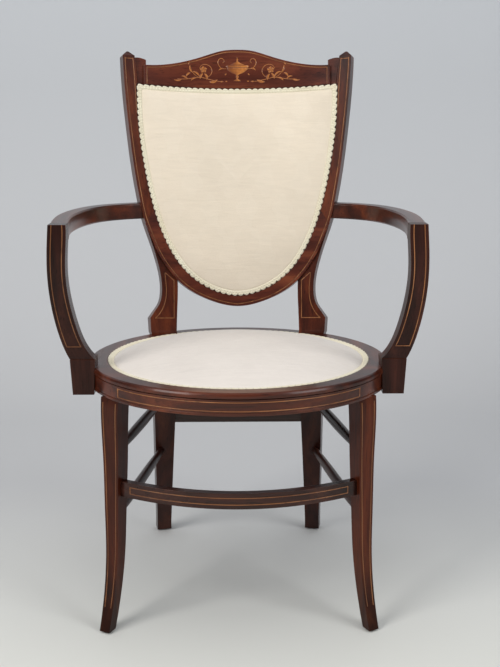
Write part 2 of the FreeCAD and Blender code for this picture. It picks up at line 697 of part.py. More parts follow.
def seat_upholstery(tops):
    """Layers of the seat, from the webbing to the gimp."""
    floor = SEAT_TOP - TACKING_REBATE
    inner = GIMP_WIDTH + WEB_INSET
    first = [strip.common(cushion_oval(inner, floor, 9.0))
             for strip in web_strips(4, 66.0, LONG, False, floor)]
    second = [strip.common(cushion_oval(inner, floor, 9.0))
              for strip in web_strips(4, 66.0, LONG, True, floor + WEB_THICK)]
    hessian_bottom = floor + 2 * WEB_THICK
    hessian_top = hessian_bottom + HESSIAN_THICK
    edge = GIMP_WIDTH - 0.5
    flange_top = floor + COVER_THICK
    outer = seat_dome(edge, floor, CUSHION_SIDE, SEAT_CROWN)
    hollow = seat_dome(edge + COVER_THICK, floor, CUSHION_SIDE - COVER_THICK, SEAT_CROWN)
    slack = COVER_THICK + SOFT_CLEARANCE
    stuffing = seat_dome(edge + slack, floor, CUSHION_SIDE - slack, SEAT_CROWN)
    below = Part.makeBox(LONG, LONG, hessian_top, V(-LONG / 2, -LONG / 2, 0))
    flange = cushion_oval(SOFT_CLEARANCE, floor, COVER_THICK)
    gimp = cushion_oval(SOFT_CLEARANCE, flange_top, GIMP_THICK).cut(
        cushion_oval(edge - SOFT_CLEARANCE, flange_top, GIMP_THICK))
    dust = oval(RAIL_WIDTH - 14.0, RAIL_BOTTOM - DUST_THICK, DUST_THICK)
    return {"seat_webbing": Part.makeCompound(first + second),
            "seat_hessian": cushion_oval(inner, hessian_bottom, HESSIAN_THICK),
            "seat_stuffing": stuffing.cut(below),
            "seat_cover": flange.fuse(outer).cut(hollow),
            "seat_gimp": gimp,
            "seat_dust_cloth": dust.cut(tops)}


def cushion_oval(inset, bottom, height):
    """Upright prism over the cushion's oval, drawn in from the show-wood rim."""
    edge = Part.Ellipse(V(0, 0, bottom), SEAT_WIDTH / 2 - RIM_SIDES - inset,
                        SEAT_DEPTH / 2 - RIM_ENDS - inset).toShape()
    return Part.Face(Part.Wire(edge)).extrude(V(0, 0, height))


def pad_section(w, half, crown, side):
    """One level section of the back pad: the crowned front, two short sides, open depth."""
    corners = [back_point(sign * x, w, depth) for sign, x, depth in
               ((-1, half, STILE_THICK_TOP), (1, half, STILE_THICK_TOP),
                (1, half - PAD_DRAW, side), (-1, half - PAD_DRAW, side))]
    edges = [Part.makeLine(corners[0], corners[1]),
             Part.makeLine(corners[1], corners[2]),
             Part.Arc(corners[2], back_point(0.0, w, side - crown), corners[3]).toShape(),
             Part.makeLine(corners[3], corners[0])]
    return Part.Wire(edges)


def back_pad(shrink, rear):
    """Shield-shaped pad with its crown, ruled between level sections."""
    edge = curve([V(x, 0, w) for x, w in shield_run(GIMP_WIDTH + shrink)])
    points = edge.discretize(PAD_SECTIONS)
    points[0].z -= PAD_TOP_DROP
    points[-1].x = points[-2].x / 3
    high, low = points[0].z, points[-1].z
    wires = []
    for point in points:
        share = (point.z - low) / (high - low)
        swell = max(0.0, 1.0 - (2.0 * share - 1.0) ** 2) ** 0.5
        crown = 1.0 + (BACK_CROWN - 1.0) * swell * (point.x / SHIELD_HALF_WIDTH) ** 0.5
        wires.append(pad_section(point.z, point.x, crown, PAD_SIDE + shrink))
    return Part.makeLoft(wires, True, True).common(curved_layer(-60.0, rear))


def shield_band(outer, inner, front, rear):
    """Flat band following the shield's edge."""
    band = back_prism(shield_runs(outer)).cut(back_prism(shield_runs(inner)))
    return band.common(curved_layer(front, rear))


def back_webbing(front):
    """Upright and level straps behind the back pad, in two layers."""
    shield = back_prism(shield_runs(GIMP_WIDTH + WEB_INSET))
    straps = []
    for i in (-1, 0, 1):
        x = i * 72.0
        runs = [[(x - 25.0, 0.0), (x + 25.0, 0.0)], [(x + 25.0, 0.0), (x + 25.0, 480.0)],
                [(x + 25.0, 480.0), (x - 25.0, 480.0)], [(x - 25.0, 480.0), (x - 25.0, 0.0)]]
        straps.append(back_prism(runs).common(shield).common(
            curved_layer(front + WEB_THICK, front + 2 * WEB_THICK)))
    for w in (160.0, 260.0, 360.0):
        runs = [[(-220.0, w - 25.0), (220.0, w - 25.0)], [(220.0, w - 25.0), (220.0, w + 25.0)],
                [(220.0, w + 25.0), (-220.0, w + 25.0)], [(-220.0, w + 25.0), (-220.0, w - 25.0)]]
        straps.append(back_prism(runs).common(shield).common(
            curved_layer(front, front + WEB_THICK)))
    return Part.makeCompound(straps)


def back_upholstery():
    """Layers of the shield-shaped back, in the back's own frame."""
    floor = SHIELD_REBATE
    web_front = floor - 2 * WEB_THICK
    hessian_rear = web_front - SOFT_CLEARANCE
    hessian_front = hessian_rear - HESSIAN_THICK
    pad_rear = hessian_front - SOFT_CLEARANCE
    pad = back_pad(COVER_THICK + SOFT_CLEARANCE, pad_rear)
    cover = back_pad(0.0, floor - COVER_THICK).cut(back_pad(COVER_THICK, floor + 2.0))
    cover = cover.fuse(shield_band(SOFT_CLEARANCE, GIMP_WIDTH, floor - COVER_THICK, floor))
    gimp = shield_band(SOFT_CLEARANCE, GIMP_WIDTH - 1.5, floor - COVER_THICK - GIMP_THICK,
                       floor - COVER_THICK)
    rear_floor = BOW_THICK - SHIELD_REAR_REBATE
    panel = back_prism(shield_runs(REAR_INSET + SOFT_CLEARANCE)).common(
        curved_layer(rear_floor, rear_floor + COVER_THICK))
    rear_gimp = shield_band(REAR_INSET + SOFT_CLEARANCE, REAR_INSET + GIMP_WIDTH,
                            rear_floor + COVER_THICK, rear_floor + COVER_THICK + GIMP_THICK)
    return {"back_webbing": back_webbing(web_front),
            "back_hessian": back_prism(shield_runs(GIMP_WIDTH + WEB_INSET)).common(
                curved_layer(hessian_front, hessian_rear)),
            "back_stuffing": pad, "back_cover": cover, "back_gimp": gimp,
            "outside_back_cover": panel, "outside_back_gimp": rear_gimp}


# Inlay

def offset_run(points, distance):
    """A run of outline points moved sideways, to the right of its direction."""
    moved = []
    for i, (x, w) in enumerate(points):
        ax, aw = points[max(i - 1, 0)]
        bx, bw = points[min(i + 1, len(points) - 1)]
        length = math.hypot(bx - ax, bw - aw)
        moved.append((x + (bw - aw) / length * distance, w - (bx - ax) / length * distance))
    return moved


def string_on_back(run, depth):
    """One line of stringing let into a face of the back."""
    near = offset_run(run, -STRING_WIDTH / 2)
    far = offset_run(run, STRING_WIDTH / 2)
    runs = [near, [near[-1], far[-1]], list(reversed(far)), [far[0], near[0]]]
    return back_prism(runs).common(curved_layer(depth - STRING_PROUD, depth + STRING_DEPTH))


def back_stringing():
    """Lines of stringing on the crest, along the shield's edge and on the lower uprights."""
    crest_line = offset_run(crest_top_run(), STRING_MARGIN)
    end_x = CREST_END - STRING_MARGIN
    crest_line = [point for point in crest_line if abs(point[0]) < end_x - 8.0]
    end_w = CREST_LOW - 1.0 - STRING_MARGIN
    crest_line = [(-end_x, end_w)] + crest_line + [(end_x, end_w)]
    crest = string_on_back(crest_line, 0.0)
    for sign in (-1, 1):
        x = sign * (end_x - STRING_WIDTH / 2)
        crest = crest.fuse(string_on_back([(x, end_w), (x, SHIELD_TOP)], 0.0))
    edge = [point for point in stile_outer_run() if point[1] > 199.0] + bow_outer_run()[1:]
    edge[0] = (STILE_OUTER_TOP, STILE_TOP - STRING_MARGIN)
    outer = offset_run(edge, STRING_MARGIN)
    top_w = STILE_TOP - STRING_MARGIN - STRING_WIDTH
    inner_x = STILE_INNER_TOP + STRING_MARGIN - 1.0
    inner = [(inner_x, STILE_TOP - STRING_MARGIN), (SHIELD_HALF_WIDTH + 2.2, SHIELD_TOP - 6.0),
             (SHIELD_HALF_WIDTH - 0.6, 395.0)]
    across = [(inner_x, top_w), (outer[0][0], top_w)]
    shield = string_on_back(outer, 0.0)
    stile = string_on_back(inner, 0.0).fuse(string_on_back(across, 0.0))
    panel_outer = [(132.0, 108.0), (129.8, 87.0), (130.3, 61.0), (135.0, 45.0),
                   (UPRIGHT_FOOT_OUTER - 8.5, 25.0)]
    point_w = UPRIGHT_INNER + 4.5
    panel = string_on_back(panel_outer, UPRIGHT_RECESS)
    for line in ([(131.0, 108.0), (point_w, 94.0)], [(point_w, 94.6), (point_w, 25.0)],
                 [(point_w - 0.6, 25.6), (UPRIGHT_FOOT_OUTER - 8.5, 25.6)]):
        panel = panel.fuse(string_on_back(line, UPRIGHT_RECESS))
    return crest, shield, stile, panel


def support_stringing():
    """Two lines down the right arm support's face, closed at the bottom."""
    lines = []
    for outer_side in (True, False):
        wires = []
        for z, outer, width, front in support_stations():
            x = outer - SUPPORT_MARGIN if outer_side else outer - width + SUPPORT_MARGIN
            wires.append(rectangle(V(x, front + STRING_DEPTH / 2 - STRING_PROUD, z), STRING_WIDTH,
                                   STRING_DEPTH, 0.0))
        lines.append(Part.makeLoft(wires, True, False))
    foot = Part.makeBox(LONG, LONG, SUPPORT_PANEL_FOOT, V(0, -LONG / 2, 0))
    z, outer, width, front = support_stations()[-2]
    middle = V(outer - width / 2, front + STRING_DEPTH / 2 - STRING_PROUD,
               SUPPORT_PANEL_FOOT + STRING_WIDTH / 2)
    closing = box_at(middle, width - 2 * SUPPORT_MARGIN, STRING_DEPTH, STRING_WIDTH)
    return lines[0].fuse(lines[1]).cut(foot).fuse(closing)


def leg_stringing():
    """Lines of stringing down the outer face of the right front leg, closed at the top."""
    lines = []
    for sign in (-1, 1):
        wires = []
        for centre, size in front_leg_stations():
            offset = V(sign * (size / 2 - LEG_MARGIN),
                       -size / 2 + STRING_DEPTH / 2 - STRING_PROUD, 0)
            middle = centre + FreeCAD.Rotation(UP, FRONT_LEG_TURN).multVec(offset)
            wires.append(rectangle(middle, STRING_WIDTH, STRING_DEPTH, FRONT_LEG_TURN))
        lines.append(Part.makeLoft(wires, True, False))
    top = RAIL_BOTTOM - LEG_PANEL_TOP
    centre, size = front_leg_stations()[0]
    offset = V(0, -size / 2 + STRING_DEPTH / 2 - STRING_PROUD, 0)
    middle = centre + FreeCAD.Rotation(UP, FRONT_LEG_TURN).multVec(offset)
    middle.z = top - STRING_WIDTH / 2
    closing = box_at(middle, size - 2 * LEG_MARGIN, STRING_DEPTH, STRING_WIDTH, FRONT_LEG_TURN)
    window = Part.makeBox(LONG, LONG, top - LEG_PANEL_FOOT,
                          V(-LONG / 2, -LONG / 2, LEG_PANEL_FOOT))
    return lines[0].fuse(lines[1]).common(window).fuse(closing)


def rail_stringing():
    """Rectangle of stringing on the front of the seat rail."""
    skin = oval(RAIL_FACE - STRING_PROUD, RAIL_BOTTOM, RAIL_HEIGHT).cut(
        oval(RAIL_FACE + STRING_DEPTH, RAIL_BOTTOM, RAIL_HEIGHT))
    low = RAIL_BOTTOM + RAIL_LINE_LOW
    high = RAIL_BOTTOM + RAIL_LINE_HIGH
    bands = []
    for z in (low, high):
        bands.append(Part.makeBox(LONG, LONG, STRING_WIDTH, V(-LONG / 2, -LONG / 2, z)))
    for x in (-RAIL_LINE_END, RAIL_LINE_END):
        bands.append(Part.makeBox(STRING_WIDTH * 1.6, LONG, high - low,
                                  V(x - STRING_WIDTH * 0.8, -LONG, low)))
    limit = Part.makeBox(2 * RAIL_LINE_END + STRING_WIDTH * 1.6, LONG, LONG,
                         V(-RAIL_LINE_END - STRING_WIDTH * 0.8, -LONG, 0))
    strings = bands[0].fuse(bands[1:])
    return skin.common(strings).common(limit)


def stretcher_stringing():
    """Long rectangle of stringing on the front stretcher's face."""
    blank = front_stretcher_blank()
    blank.translate(V(0, -STRING_PROUD, 0))
    behind = blank.copy()
    behind.translate(V(0, STRING_DEPTH + STRING_PROUD, 0))
    skin = blank.cut(behind)
    low = FRONT_STRETCHER_BOTTOM + STRETCHER_MARGIN
    high = FRONT_STRETCHER_BOTTOM + FRONT_STRETCHER_HEIGHT - STRETCHER_MARGIN - STRING_WIDTH
    end = front_leg_centre(high).x - STRETCHER_LINE_END
    bands = []
    for z in (low, high):
        bands.append(Part.makeBox(2 * end, LONG, STRING_WIDTH, V(-end, -LONG, z)))
    for x in (-end, end - STRING_WIDTH):
        bands.append(Part.makeBox(STRING_WIDTH, LONG, high - low, V(x, -LONG, low)))
    return skin.common(bands[0].fuse(bands[1:]))


# Small fixings

def screw(start, direction, length):
    """Wood screw, simplified: a cheese head and a plain shank."""
    shank = Part.makeCylinder(SCREW_RADIUS, length, start, direction)
    return shank.fuse(Part.makeCylinder(SCREW_HEAD_RADIUS, SCREW_HEAD_HEIGHT, start, direction))


def glue_blocks(ring):
    """Blocks glued inside the seat frame beside each leg."""
    blocks = []
    front_angle = math.degrees(math.atan2(FRONT_LEG_Y, FRONT_LEG_X))
    for base in (front_angle, rear_joint_angle()):
        for angle in (base, 180.0 - base):
            z = RAIL_BOTTOM + GLUE_BLOCK_HEIGHT / 2 + 2.0
            middle = joint_point(angle, z, RAIL_WIDTH + GLUE_BLOCK_THICK / 2 - 3.0)
            block = box_at(middle, GLUE_BLOCK_THICK, GLUE_BLOCK_LENGTH, GLUE_BLOCK_HEIGHT, angle)
            blocks.append(block.cut(ring))
    return blocks


def support_screw():
    """Screw from inside the seat frame into the right arm support's block."""
    y = SUPPORT_BLOCK_FRONT + SUPPORT_BLOCK_DEPTH / 2
    inner = joint_point(math.degrees(math.atan2(y, SEAT_WIDTH / 2 - RAIL_WIDTH)), 0.0, RAIL_WIDTH)
    start = V(inner.x, y, RAIL_BOTTOM + SUPPORT_SCREW_RISE)
    return screw(start, V(1, 0, 0), SUPPORT_SCREW_LENGTH)


def arm_tenons():
    """Loose tenons of the right arm, into the stile and into the support."""
    z = ARM_TOP - ARM_HEIGHT / 2
    rear = box_at(V(ARM_REACH + 12.0, 210.0, z), ARM_TENON_LENGTH, ARM_TENON_SIZE,
                  ARM_TENON_SIZE, -16.0)
    front = box_at(V(SUPPORT_TOP_OUTER - SUPPORT_TOP_WIDTH / 2, ARM_FRONT_Y + SUPPORT_DEPTH, z),
                   ARM_TENON_SIZE, ARM_TENON_LENGTH, ARM_TENON_SIZE)
    return [rear, front]


def glide(centre):
    """Round glide under a foot, with its pin."""
    base = V(centre.x, centre.y, 0)
    disc = Part.makeCylinder(GLIDE_RADIUS, GLIDE_HEIGHT, base, UP)
    return disc.fuse(Part.makeCylinder(GLIDE_PIN_RADIUS, GLIDE_PIN_LENGTH, base + UP, UP))


# Assembly

def both_sides(shapes):
    """The right-hand shapes and their mirror images."""
    return shapes + [mirrored(shape, -1) for shape in shapes]


def build():
    """Every node of the chair about the seat's centre, by name."""
    nodes = {}
    stile, crest, bow = build_back_frame()
    crest_string, shield_string, stile_string, panel_string = back_stringing()
    shield_whole = shield_string.fuse(mirrored(shield_string, -1))
    bow_string = shield_whole.common(bow)
    stile_string = shield_string.cut(bow).fuse(stile_string.common(stile))
    bow = bow.cut(bow_string)
    crest = crest.cut(crest_string)
    stile = stile.cut([stile_string, panel_string])
    rear_leg = in_room(stile).fuse(rear_leg_below())

    front_leg = front_leg_blank()
    sides, pins = {}, []
    for name, z in (("lower", LOWER_SIDE_HEIGHT), ("upper", UPPER_SIDE_HEIGHT)):
        body, pin = side_stretcher(z)
        sides[name + "_side_stretcher"] = body.cut([front_leg, rear_leg]).fuse(pin)
        pins.append(pin)
    front_stretcher = front_stretcher_blank()
    rear_stretcher = rear_stretcher_blank()
    leg_string = leg_stringing()
    front_leg = front_leg.cut(pins + [front_stretcher, leg_string])
    front_leg = front_leg.fuse(leg_tenon(0.0))
    rear_leg = rear_leg.cut(pins + [rear_stretcher])

    ring = ring_blank()
    support = support_blank().cut(ring)
    support_string = support_stringing()
    tenons = arm_tenons()
    support_fixing = support_screw()
    feet = [front_leg_stations()[-1][0], rear_leg_centre(GLIDE_HEIGHT)]
    front_glide, rear_glide = [glide(foot) for foot in feet]
    front_leg = front_leg.cut(front_glide)
    rear_leg = rear_leg.cut(rear_glide)
    arm = arm_blank().cut([rear_leg, support]).cut(tenons)
    support = support.cut(tenons + [support_fixing, support_string])
    rear_leg = rear_leg.cut(tenons)

    blocks = glue_blocks(ring)
    rail_string = rail_stringing()
    legs = both_sides([rear_leg])
    ring = ring.cut(legs + both_sides([leg_tenon(JOINT_CLEARANCE)])
                    + rail_tenons(JOINT_CLEARANCE))
    ring = ring.cut(both_sides([support_fixing]) + [rail_string])
    rear_angle = rear_joint_angle()
    side_rail = ring.common(sector(FRONT_JOINT_ANGLE, rear_angle))
    nodes["seat_rail_front"] = ring.common(sector(-180.0 - FRONT_JOINT_ANGLE, FRONT_JOINT_ANGLE))
    nodes["seat_rail_rear"] = ring.common(sector(rear_angle, 180.0 - rear_angle))

    stretcher_string = stretcher_stringing()
    pairs = {"rear_leg": rear_leg, "front_leg": front_leg, "seat_rail": side_rail,
             "arm": arm, "arm_support": support}
    pairs.update(sides)
    for base, shape in pairs.items():
        for name, side in SIDES:
            nodes[base + "_" + name] = mirrored(shape, side)
    back_strings = [in_room(stile_string), in_room(panel_string)]
    nodes["stile_stringing"] = Part.makeCompound(both_sides(back_strings))
    nodes["support_stringing"] = Part.makeCompound(both_sides([support_string]))
    nodes["leg_stringing"] = Part.makeCompound(both_sides([leg_string]))

    nodes["crest_rail"] = in_room(crest)
    nodes["lower_shield_rail"] = in_room(bow)
    nodes["crest_stringing"] = in_room(crest_string)
    nodes["bow_stringing"] = in_room(bow_string)
    nodes["front_stretcher"] = front_stretcher.cut(stretcher_string)
    nodes["front_stretcher_stringing"] = stretcher_string
    nodes["rear_stretcher"] = rear_stretcher
    nodes["seat_rail_stringing"] = rail_string
    nodes["rail_tenons"] = Part.makeCompound(rail_tenons(0.0))
    nodes["glue_blocks"] = Part.makeCompound(blocks)
    nodes["support_screws"] = Part.makeCompound(both_sides([support_fixing]))
    nodes["arm_tenons"] = Part.makeCompound(both_sides(tenons))
    nodes["foot_glides"] = Part.makeCompound(both_sides([front_glide, rear_glide]))
    for name, shape in back_upholstery().items():
        nodes[name] = in_room(shape)
    nodes.update(seat_upholstery(legs + both_sides([front_leg])))
    return nodes


def centre_on_origin(nodes):
    """Move the chair so that its bounding box stands centred over the origin."""
    whole = Part.makeCompound(list(nodes.values())).optimalBoundingBox()
    shift = V(-(whole.XMin + whole.XMax) / 2, -(whole.YMin + whole.YMax) / 2, -whole.ZMin)
    for shape in nodes.values():
        shape.translate(shift)
    print("overall", round(whole.XLength, 2), round(whole.YLength, 2), round(whole.ZLength, 2),
          "shift", round(shift.x, 3), round(shift.y, 3), round(shift.z, 3))


def main():
    os.makedirs("parts", exist_ok=True)
    nodes = build()
    centre_on_origin(nodes)
    for name, shape in nodes.items():
        shape.exportStep(os.path.join("parts", name + ".step"))
        print(name, len(shape.Solids), "solids", round(shape.Volume), "mm3",
              "valid" if shape.isValid() else "NOT VALID")


main()
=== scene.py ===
# %% [markdown]
# # A shield back elbow chair
# The wooden frame arrives as a imported CAD model, already in place. This lesson dresses
# it: polished mahogany, pale inlaid lines, an inlaid urn on the crest, two upholstered
# pads with their braid, and small metal glides.

# %% Load the frame
import math

import bmesh
import bpy
import numpy as np
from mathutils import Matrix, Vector


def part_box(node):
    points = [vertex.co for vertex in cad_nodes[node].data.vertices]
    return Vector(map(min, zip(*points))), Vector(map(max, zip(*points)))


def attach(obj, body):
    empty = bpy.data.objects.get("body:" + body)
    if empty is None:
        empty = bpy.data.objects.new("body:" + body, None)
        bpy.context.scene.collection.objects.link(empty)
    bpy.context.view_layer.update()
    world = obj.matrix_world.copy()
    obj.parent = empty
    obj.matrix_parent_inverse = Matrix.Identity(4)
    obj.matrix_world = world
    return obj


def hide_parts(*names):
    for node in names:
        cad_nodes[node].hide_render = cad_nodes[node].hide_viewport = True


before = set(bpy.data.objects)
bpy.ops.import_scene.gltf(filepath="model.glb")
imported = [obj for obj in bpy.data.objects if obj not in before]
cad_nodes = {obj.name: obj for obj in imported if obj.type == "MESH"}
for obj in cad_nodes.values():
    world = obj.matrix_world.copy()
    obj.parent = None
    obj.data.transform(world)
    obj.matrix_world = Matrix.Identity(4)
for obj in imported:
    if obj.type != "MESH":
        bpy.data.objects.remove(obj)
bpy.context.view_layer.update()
print("nodes", len(cad_nodes))

# %% [markdown]
# ## Camera
# The photograph looks slightly down on the chair from the front, at about eye height of
# someone sitting. A camera fitted to the feet, the seat and the back gave these values.

# %% Camera
CAMERA_AT = Vector((-0.0072, -1.7493, 0.8474))
CAMERA_YAW = 0.0155
CAMERA_PITCH = 0.2201
CAMERA_LENS = 57.03

lens = bpy.data.cameras.new("camera")
lens.lens = CAMERA_LENS
lens.sensor_width = 36.0
camera = bpy.data.objects.new("camera", lens)
bpy.context.scene.collection.objects.link(camera)
looking = Vector((math.sin(CAMERA_YAW) * math.cos(CAMERA_PITCH),
                  math.cos(CAMERA_YAW) * math.cos(CAMERA_PITCH), -math.sin(CAMERA_PITCH)))
camera.location = CAMERA_AT
camera.rotation_euler = looking.to_track_quat("-Z", "Y").to_euler()
bpy.context.scene.camera = camera
print("camera", tuple(round(v, 3) for v in camera.location))

# %% [markdown]
# ## Studio
# A pale sweep of paper: floor and wall are one surface with a wide bend, so that no
# corner shows. A flat floor under a white world would be simpler, but the photograph's
# ground turns softly into its wall. The paper's rear side lets the eye through, so that
# the chair can be seen from behind.

# %% Sweep of background paper
SWEEP_WIDTH = 9.0
SWEEP_FRONT = -5.0
SWEEP_BACK = 1.9
SWEEP_BEND = 0.9
SWEEP_HEIGHT = 4.5


def sweep_profile(count=40):
    """Side view of the paper: a level run, a quarter circle, then an upright run."""
    angle = np.linspace(0.0, np.pi / 2, count)
    bend = np.stack([SWEEP_BACK - SWEEP_BEND + SWEEP_BEND * np.sin(angle),
                     SWEEP_BEND - SWEEP_BEND * np.cos(angle)], axis=1)
    return np.vstack([[[SWEEP_FRONT, 0.0]], bend, [[SWEEP_BACK, SWEEP_HEIGHT]]])


def grid_faces(rows, columns, closed_rows=False, closed_columns=False):
    """Corner numbers of the quads of a grid, counted row by row."""
    row = np.arange(rows if closed_rows else rows - 1)
    column = np.arange(columns if closed_columns else columns - 1)
    r, c = np.meshgrid(row, column, indexing="ij")
    r2, c2 = (r + 1) % rows, (c + 1) % columns
    quads = np.stack([r * columns + c, r * columns + c2, r2 * columns + c2, r2 * columns + c], -1)
    return quads.reshape(-1, 4)


def make_piece(name, points, faces, smooth=True):
    """New mesh object from an array of points and an array or list of faces."""
    mesh = bpy.data.meshes.new(name)
    faces = faces.tolist() if hasattr(faces, "tolist") else faces
    mesh.from_pydata(np.asarray(points, float).reshape(-1, 3).tolist(), [], faces)
    mesh.polygons.foreach_set("use_smooth", [smooth] * len(mesh.polygons))
    mesh.update()
    piece = bpy.data.objects.new(name, mesh)
    bpy.context.scene.collection.objects.link(piece)
    return piece


profile = sweep_profile()
across = np.array([-SWEEP_WIDTH / 2, SWEEP_WIDTH / 2])
paper = np.stack([np.repeat(across[:, None], len(profile), 1),
                  np.repeat(profile[None, :, 0], 2, 0),
                  np.repeat(profile[None, :, 1], 2, 0)], axis=-1)
floor = make_piece("studio_floor", paper, grid_faces(2, len(profile))[:, ::-1])
print("paper points", len(floor.data.vertices))

# %% [markdown]
# ## Helpers for materials
# A material is a small net of nodes. Written out by hand each one takes many lines, so a
# few helpers make a node with its values, a group with named sockets, and a copy of that
# group in a material. What several finishes share is built once, as a group.


# %% Node helpers
def new_material(name):
    """Empty node material with a Principled shader; gives material, nodes, links, shader."""
    material = bpy.data.materials.new(name)
    material.use_nodes = True
    nodes, links = material.node_tree.nodes, material.node_tree.links
    return material, nodes, links, nodes["Principled BSDF"]


def add_node(tree_nodes, kind, **values):
    """Node of a kind, with properties and socket values set by name."""
    node = tree_nodes.new(kind)
    for key, value in values.items():
        if key in node.inputs:
            node.inputs[key].default_value = value
        else:
            setattr(node, key, value)
    return node


def new_group(name, inputs, outputs):
    """Shader group with named sockets, each given as (name, kind, default)."""
    group = bpy.data.node_groups.new(name, "ShaderNodeTree")
    for label, kind, default in inputs:
        socket = group.interface.new_socket(label, in_out="INPUT", socket_type=kind)
        if default is not None:
            socket.default_value = default
    for label, kind in outputs:
        group.interface.new_socket(label, in_out="OUTPUT", socket_type=kind)
    entry = group.nodes.new("NodeGroupInput")
    leave = group.nodes.new("NodeGroupOutput")
    return group, entry, leave


def place_group(nodes, group, **values):
    """A group node in a material, with its inputs set by name (spaces as underscores)."""
    node = nodes.new("ShaderNodeGroup")
    node.node_tree = group
    for key, value in values.items():
        node.inputs[key.replace("_", " ")].default_value = value
    return node


print("helpers ready, node groups so far", len(bpy.data.node_groups))

# %% [markdown]
# ## Paper
# Studio paper is matt and even, so its colour here is painted light: lighter and warmer near
# the eye and cooler up the wall, mixed along y over the floor and along z up the wall.

# %% Paper finish
PAPER_COLOUR = (0.56, 0.565, 0.575, 1.0)
WALL_PAINTED_COOL_LIGHT = (0.56, 0.585, 0.62, 1.0)
NEAR_PAINTED_LIGHT = (0.74, 0.74, 0.67, 1.0)
NEAR_BEGINS, NEAR_FULL = 0.5, -0.8
WALL_BEGINS, WALL_FULL = 0.0, 1.6
PAPER_ROUGHNESS = 0.9

material, nodes, links, shader = new_material("studio_paper")
place = add_node(nodes, "ShaderNodeTexCoord")
split = add_node(nodes, "ShaderNodeSeparateXYZ")
links.new(place.outputs["Object"], split.inputs[0])
# painted light: the paper is lighter and warmer towards the front and cooler up the wall
nearness = add_node(nodes, "ShaderNodeMapRange",
                    **{"From Min": NEAR_BEGINS, "From Max": NEAR_FULL})
links.new(split.outputs["Y"], nearness.inputs["Value"])
height = add_node(nodes, "ShaderNodeMapRange", **{"From Min": WALL_BEGINS, "From Max": WALL_FULL})
links.new(split.outputs["Z"], height.inputs["Value"])
floor_mix = add_node(nodes, "ShaderNodeMix", data_type="RGBA")
floor_mix.inputs[6].default_value = PAPER_COLOUR
floor_mix.inputs[7].default_value = NEAR_PAINTED_LIGHT
links.new(nearness.outputs[0], floor_mix.inputs[0])
wall_mix = add_node(nodes, "ShaderNodeMix", data_type="RGBA")
wall_mix.inputs[7].default_value = WALL_PAINTED_COOL_LIGHT
links.new(floor_mix.outputs[2], wall_mix.inputs[6])
links.new(height.outputs[0], wall_mix.inputs[0])
links.new(wall_mix.outputs[2], shader.inputs["Base Color"])
shader.inputs["Roughness"].default_value = PAPER_ROUGHNESS
facing = add_node(nodes, "ShaderNodeNewGeometry")
seen = add_node(nodes, "ShaderNodeMath", operation="SUBTRACT")
seen.inputs[0].default_value = 1.0
links.new(facing.outputs["Backfacing"], seen.inputs[1])
links.new(seen.outputs[0], shader.inputs["Alpha"])
floor.data.materials.append(material)
print("paper nodes", len(nodes))

# %% [markdown]
# ## Light
# Three square lamps stand for soft boxes: a warm one to the left, a cooler and weaker one
# to the right, and a faint one above. The world fills the shadows. Reflections see it
# weaker than it lights, because a bright world all round would veil dark polished wood.


# %% Lamps
def soft_lamp(name, at, towards, size, watts, colour=(1.0, 1.0, 1.0)):
    """Square area lamp at a point, facing another point."""
    data = bpy.data.lights.new(name, "AREA")
    data.shape = "SQUARE"
    data.size = size
    data.energy = watts
    data.color = colour
    lamp = bpy.data.objects.new(name, data)
    lamp.location = at
    lamp.rotation_euler = (Vector(towards) - Vector(at)).to_track_quat("-Z", "Y").to_euler()
    bpy.context.scene.collection.objects.link(lamp)
    return lamp


CHAIR_MIDDLE = (0.0, 0.0, 0.5)
SEAT_MIDDLE = (0.0, 0.1, 0.4)
WARM_LIGHT = (1.0, 0.985, 0.96)
COOL_LIGHT = (0.97, 0.985, 1.0)
WORLD_STRENGTH = 0.50
WORLD_STRENGTH_IN_GLOSS = 0.14
WORLD_COLOUR = (0.80, 0.81, 0.83, 1.0)
soft_lamp("lamp_left", (-2.2, -1.9, 2.3), CHAIR_MIDDLE, size=1.5, watts=66.0, colour=WARM_LIGHT)
soft_lamp("lamp_right", (2.4, -1.9, 2.0), CHAIR_MIDDLE, size=1.5, watts=40.0, colour=COOL_LIGHT)
soft_lamp("lamp_above", (0.2, -0.4, 3.1), SEAT_MIDDLE, size=2.2, watts=20.0)

world = bpy.data.worlds.new("studio")
world.use_nodes = True
sky_nodes, sky_links = world.node_tree.nodes, world.node_tree.links
ray = sky_nodes.new("ShaderNodeLightPath")
strength = sky_nodes.new("ShaderNodeMapRange")
strength.inputs["To Min"].default_value = WORLD_STRENGTH
strength.inputs["To Max"].default_value = WORLD_STRENGTH_IN_GLOSS
sky_links.new(ray.outputs["Is Glossy Ray"], strength.inputs["Value"])
sky_links.new(strength.outputs[0], sky_nodes["Background"].inputs["Strength"])
sky_nodes["Background"].inputs["Color"].default_value = WORLD_COLOUR
bpy.context.scene.world = world
bpy.context.scene.view_settings.view_transform = "Standard"

# %% [markdown]
# ## Mahogany
# French-polished mahogany is a deep red brown with long soft streaks, short dark pores
# and a clear glossy skin. The streaks follow the length of each piece, so one group of
# nodes makes the figure and each material stretches it along its own direction.
# The group reads Object coordinates, which sit still on every piece.

# %% Grain group
grain_group, entry, leave = new_group(
    "wood_grain",
    [("Vector", "NodeSocketVector", None), ("Dark", "NodeSocketColor", (0.03, 0.008, 0.005, 1)),
     ("Middle", "NodeSocketColor", (0.10, 0.025, 0.012, 1)),
     ("Light", "NodeSocketColor", (0.22, 0.07, 0.03, 1)),
     ("Streaks", "NodeSocketFloat", 28.0), ("Pores", "NodeSocketFloat", 420.0),
     ("Cloud", "NodeSocketFloat", 0.22)],
    [("Color", "NodeSocketColor"), ("Roughness", "NodeSocketFloat"), ("Height", "NodeSocketFloat")])
gn, gl = grain_group.nodes, grain_group.links

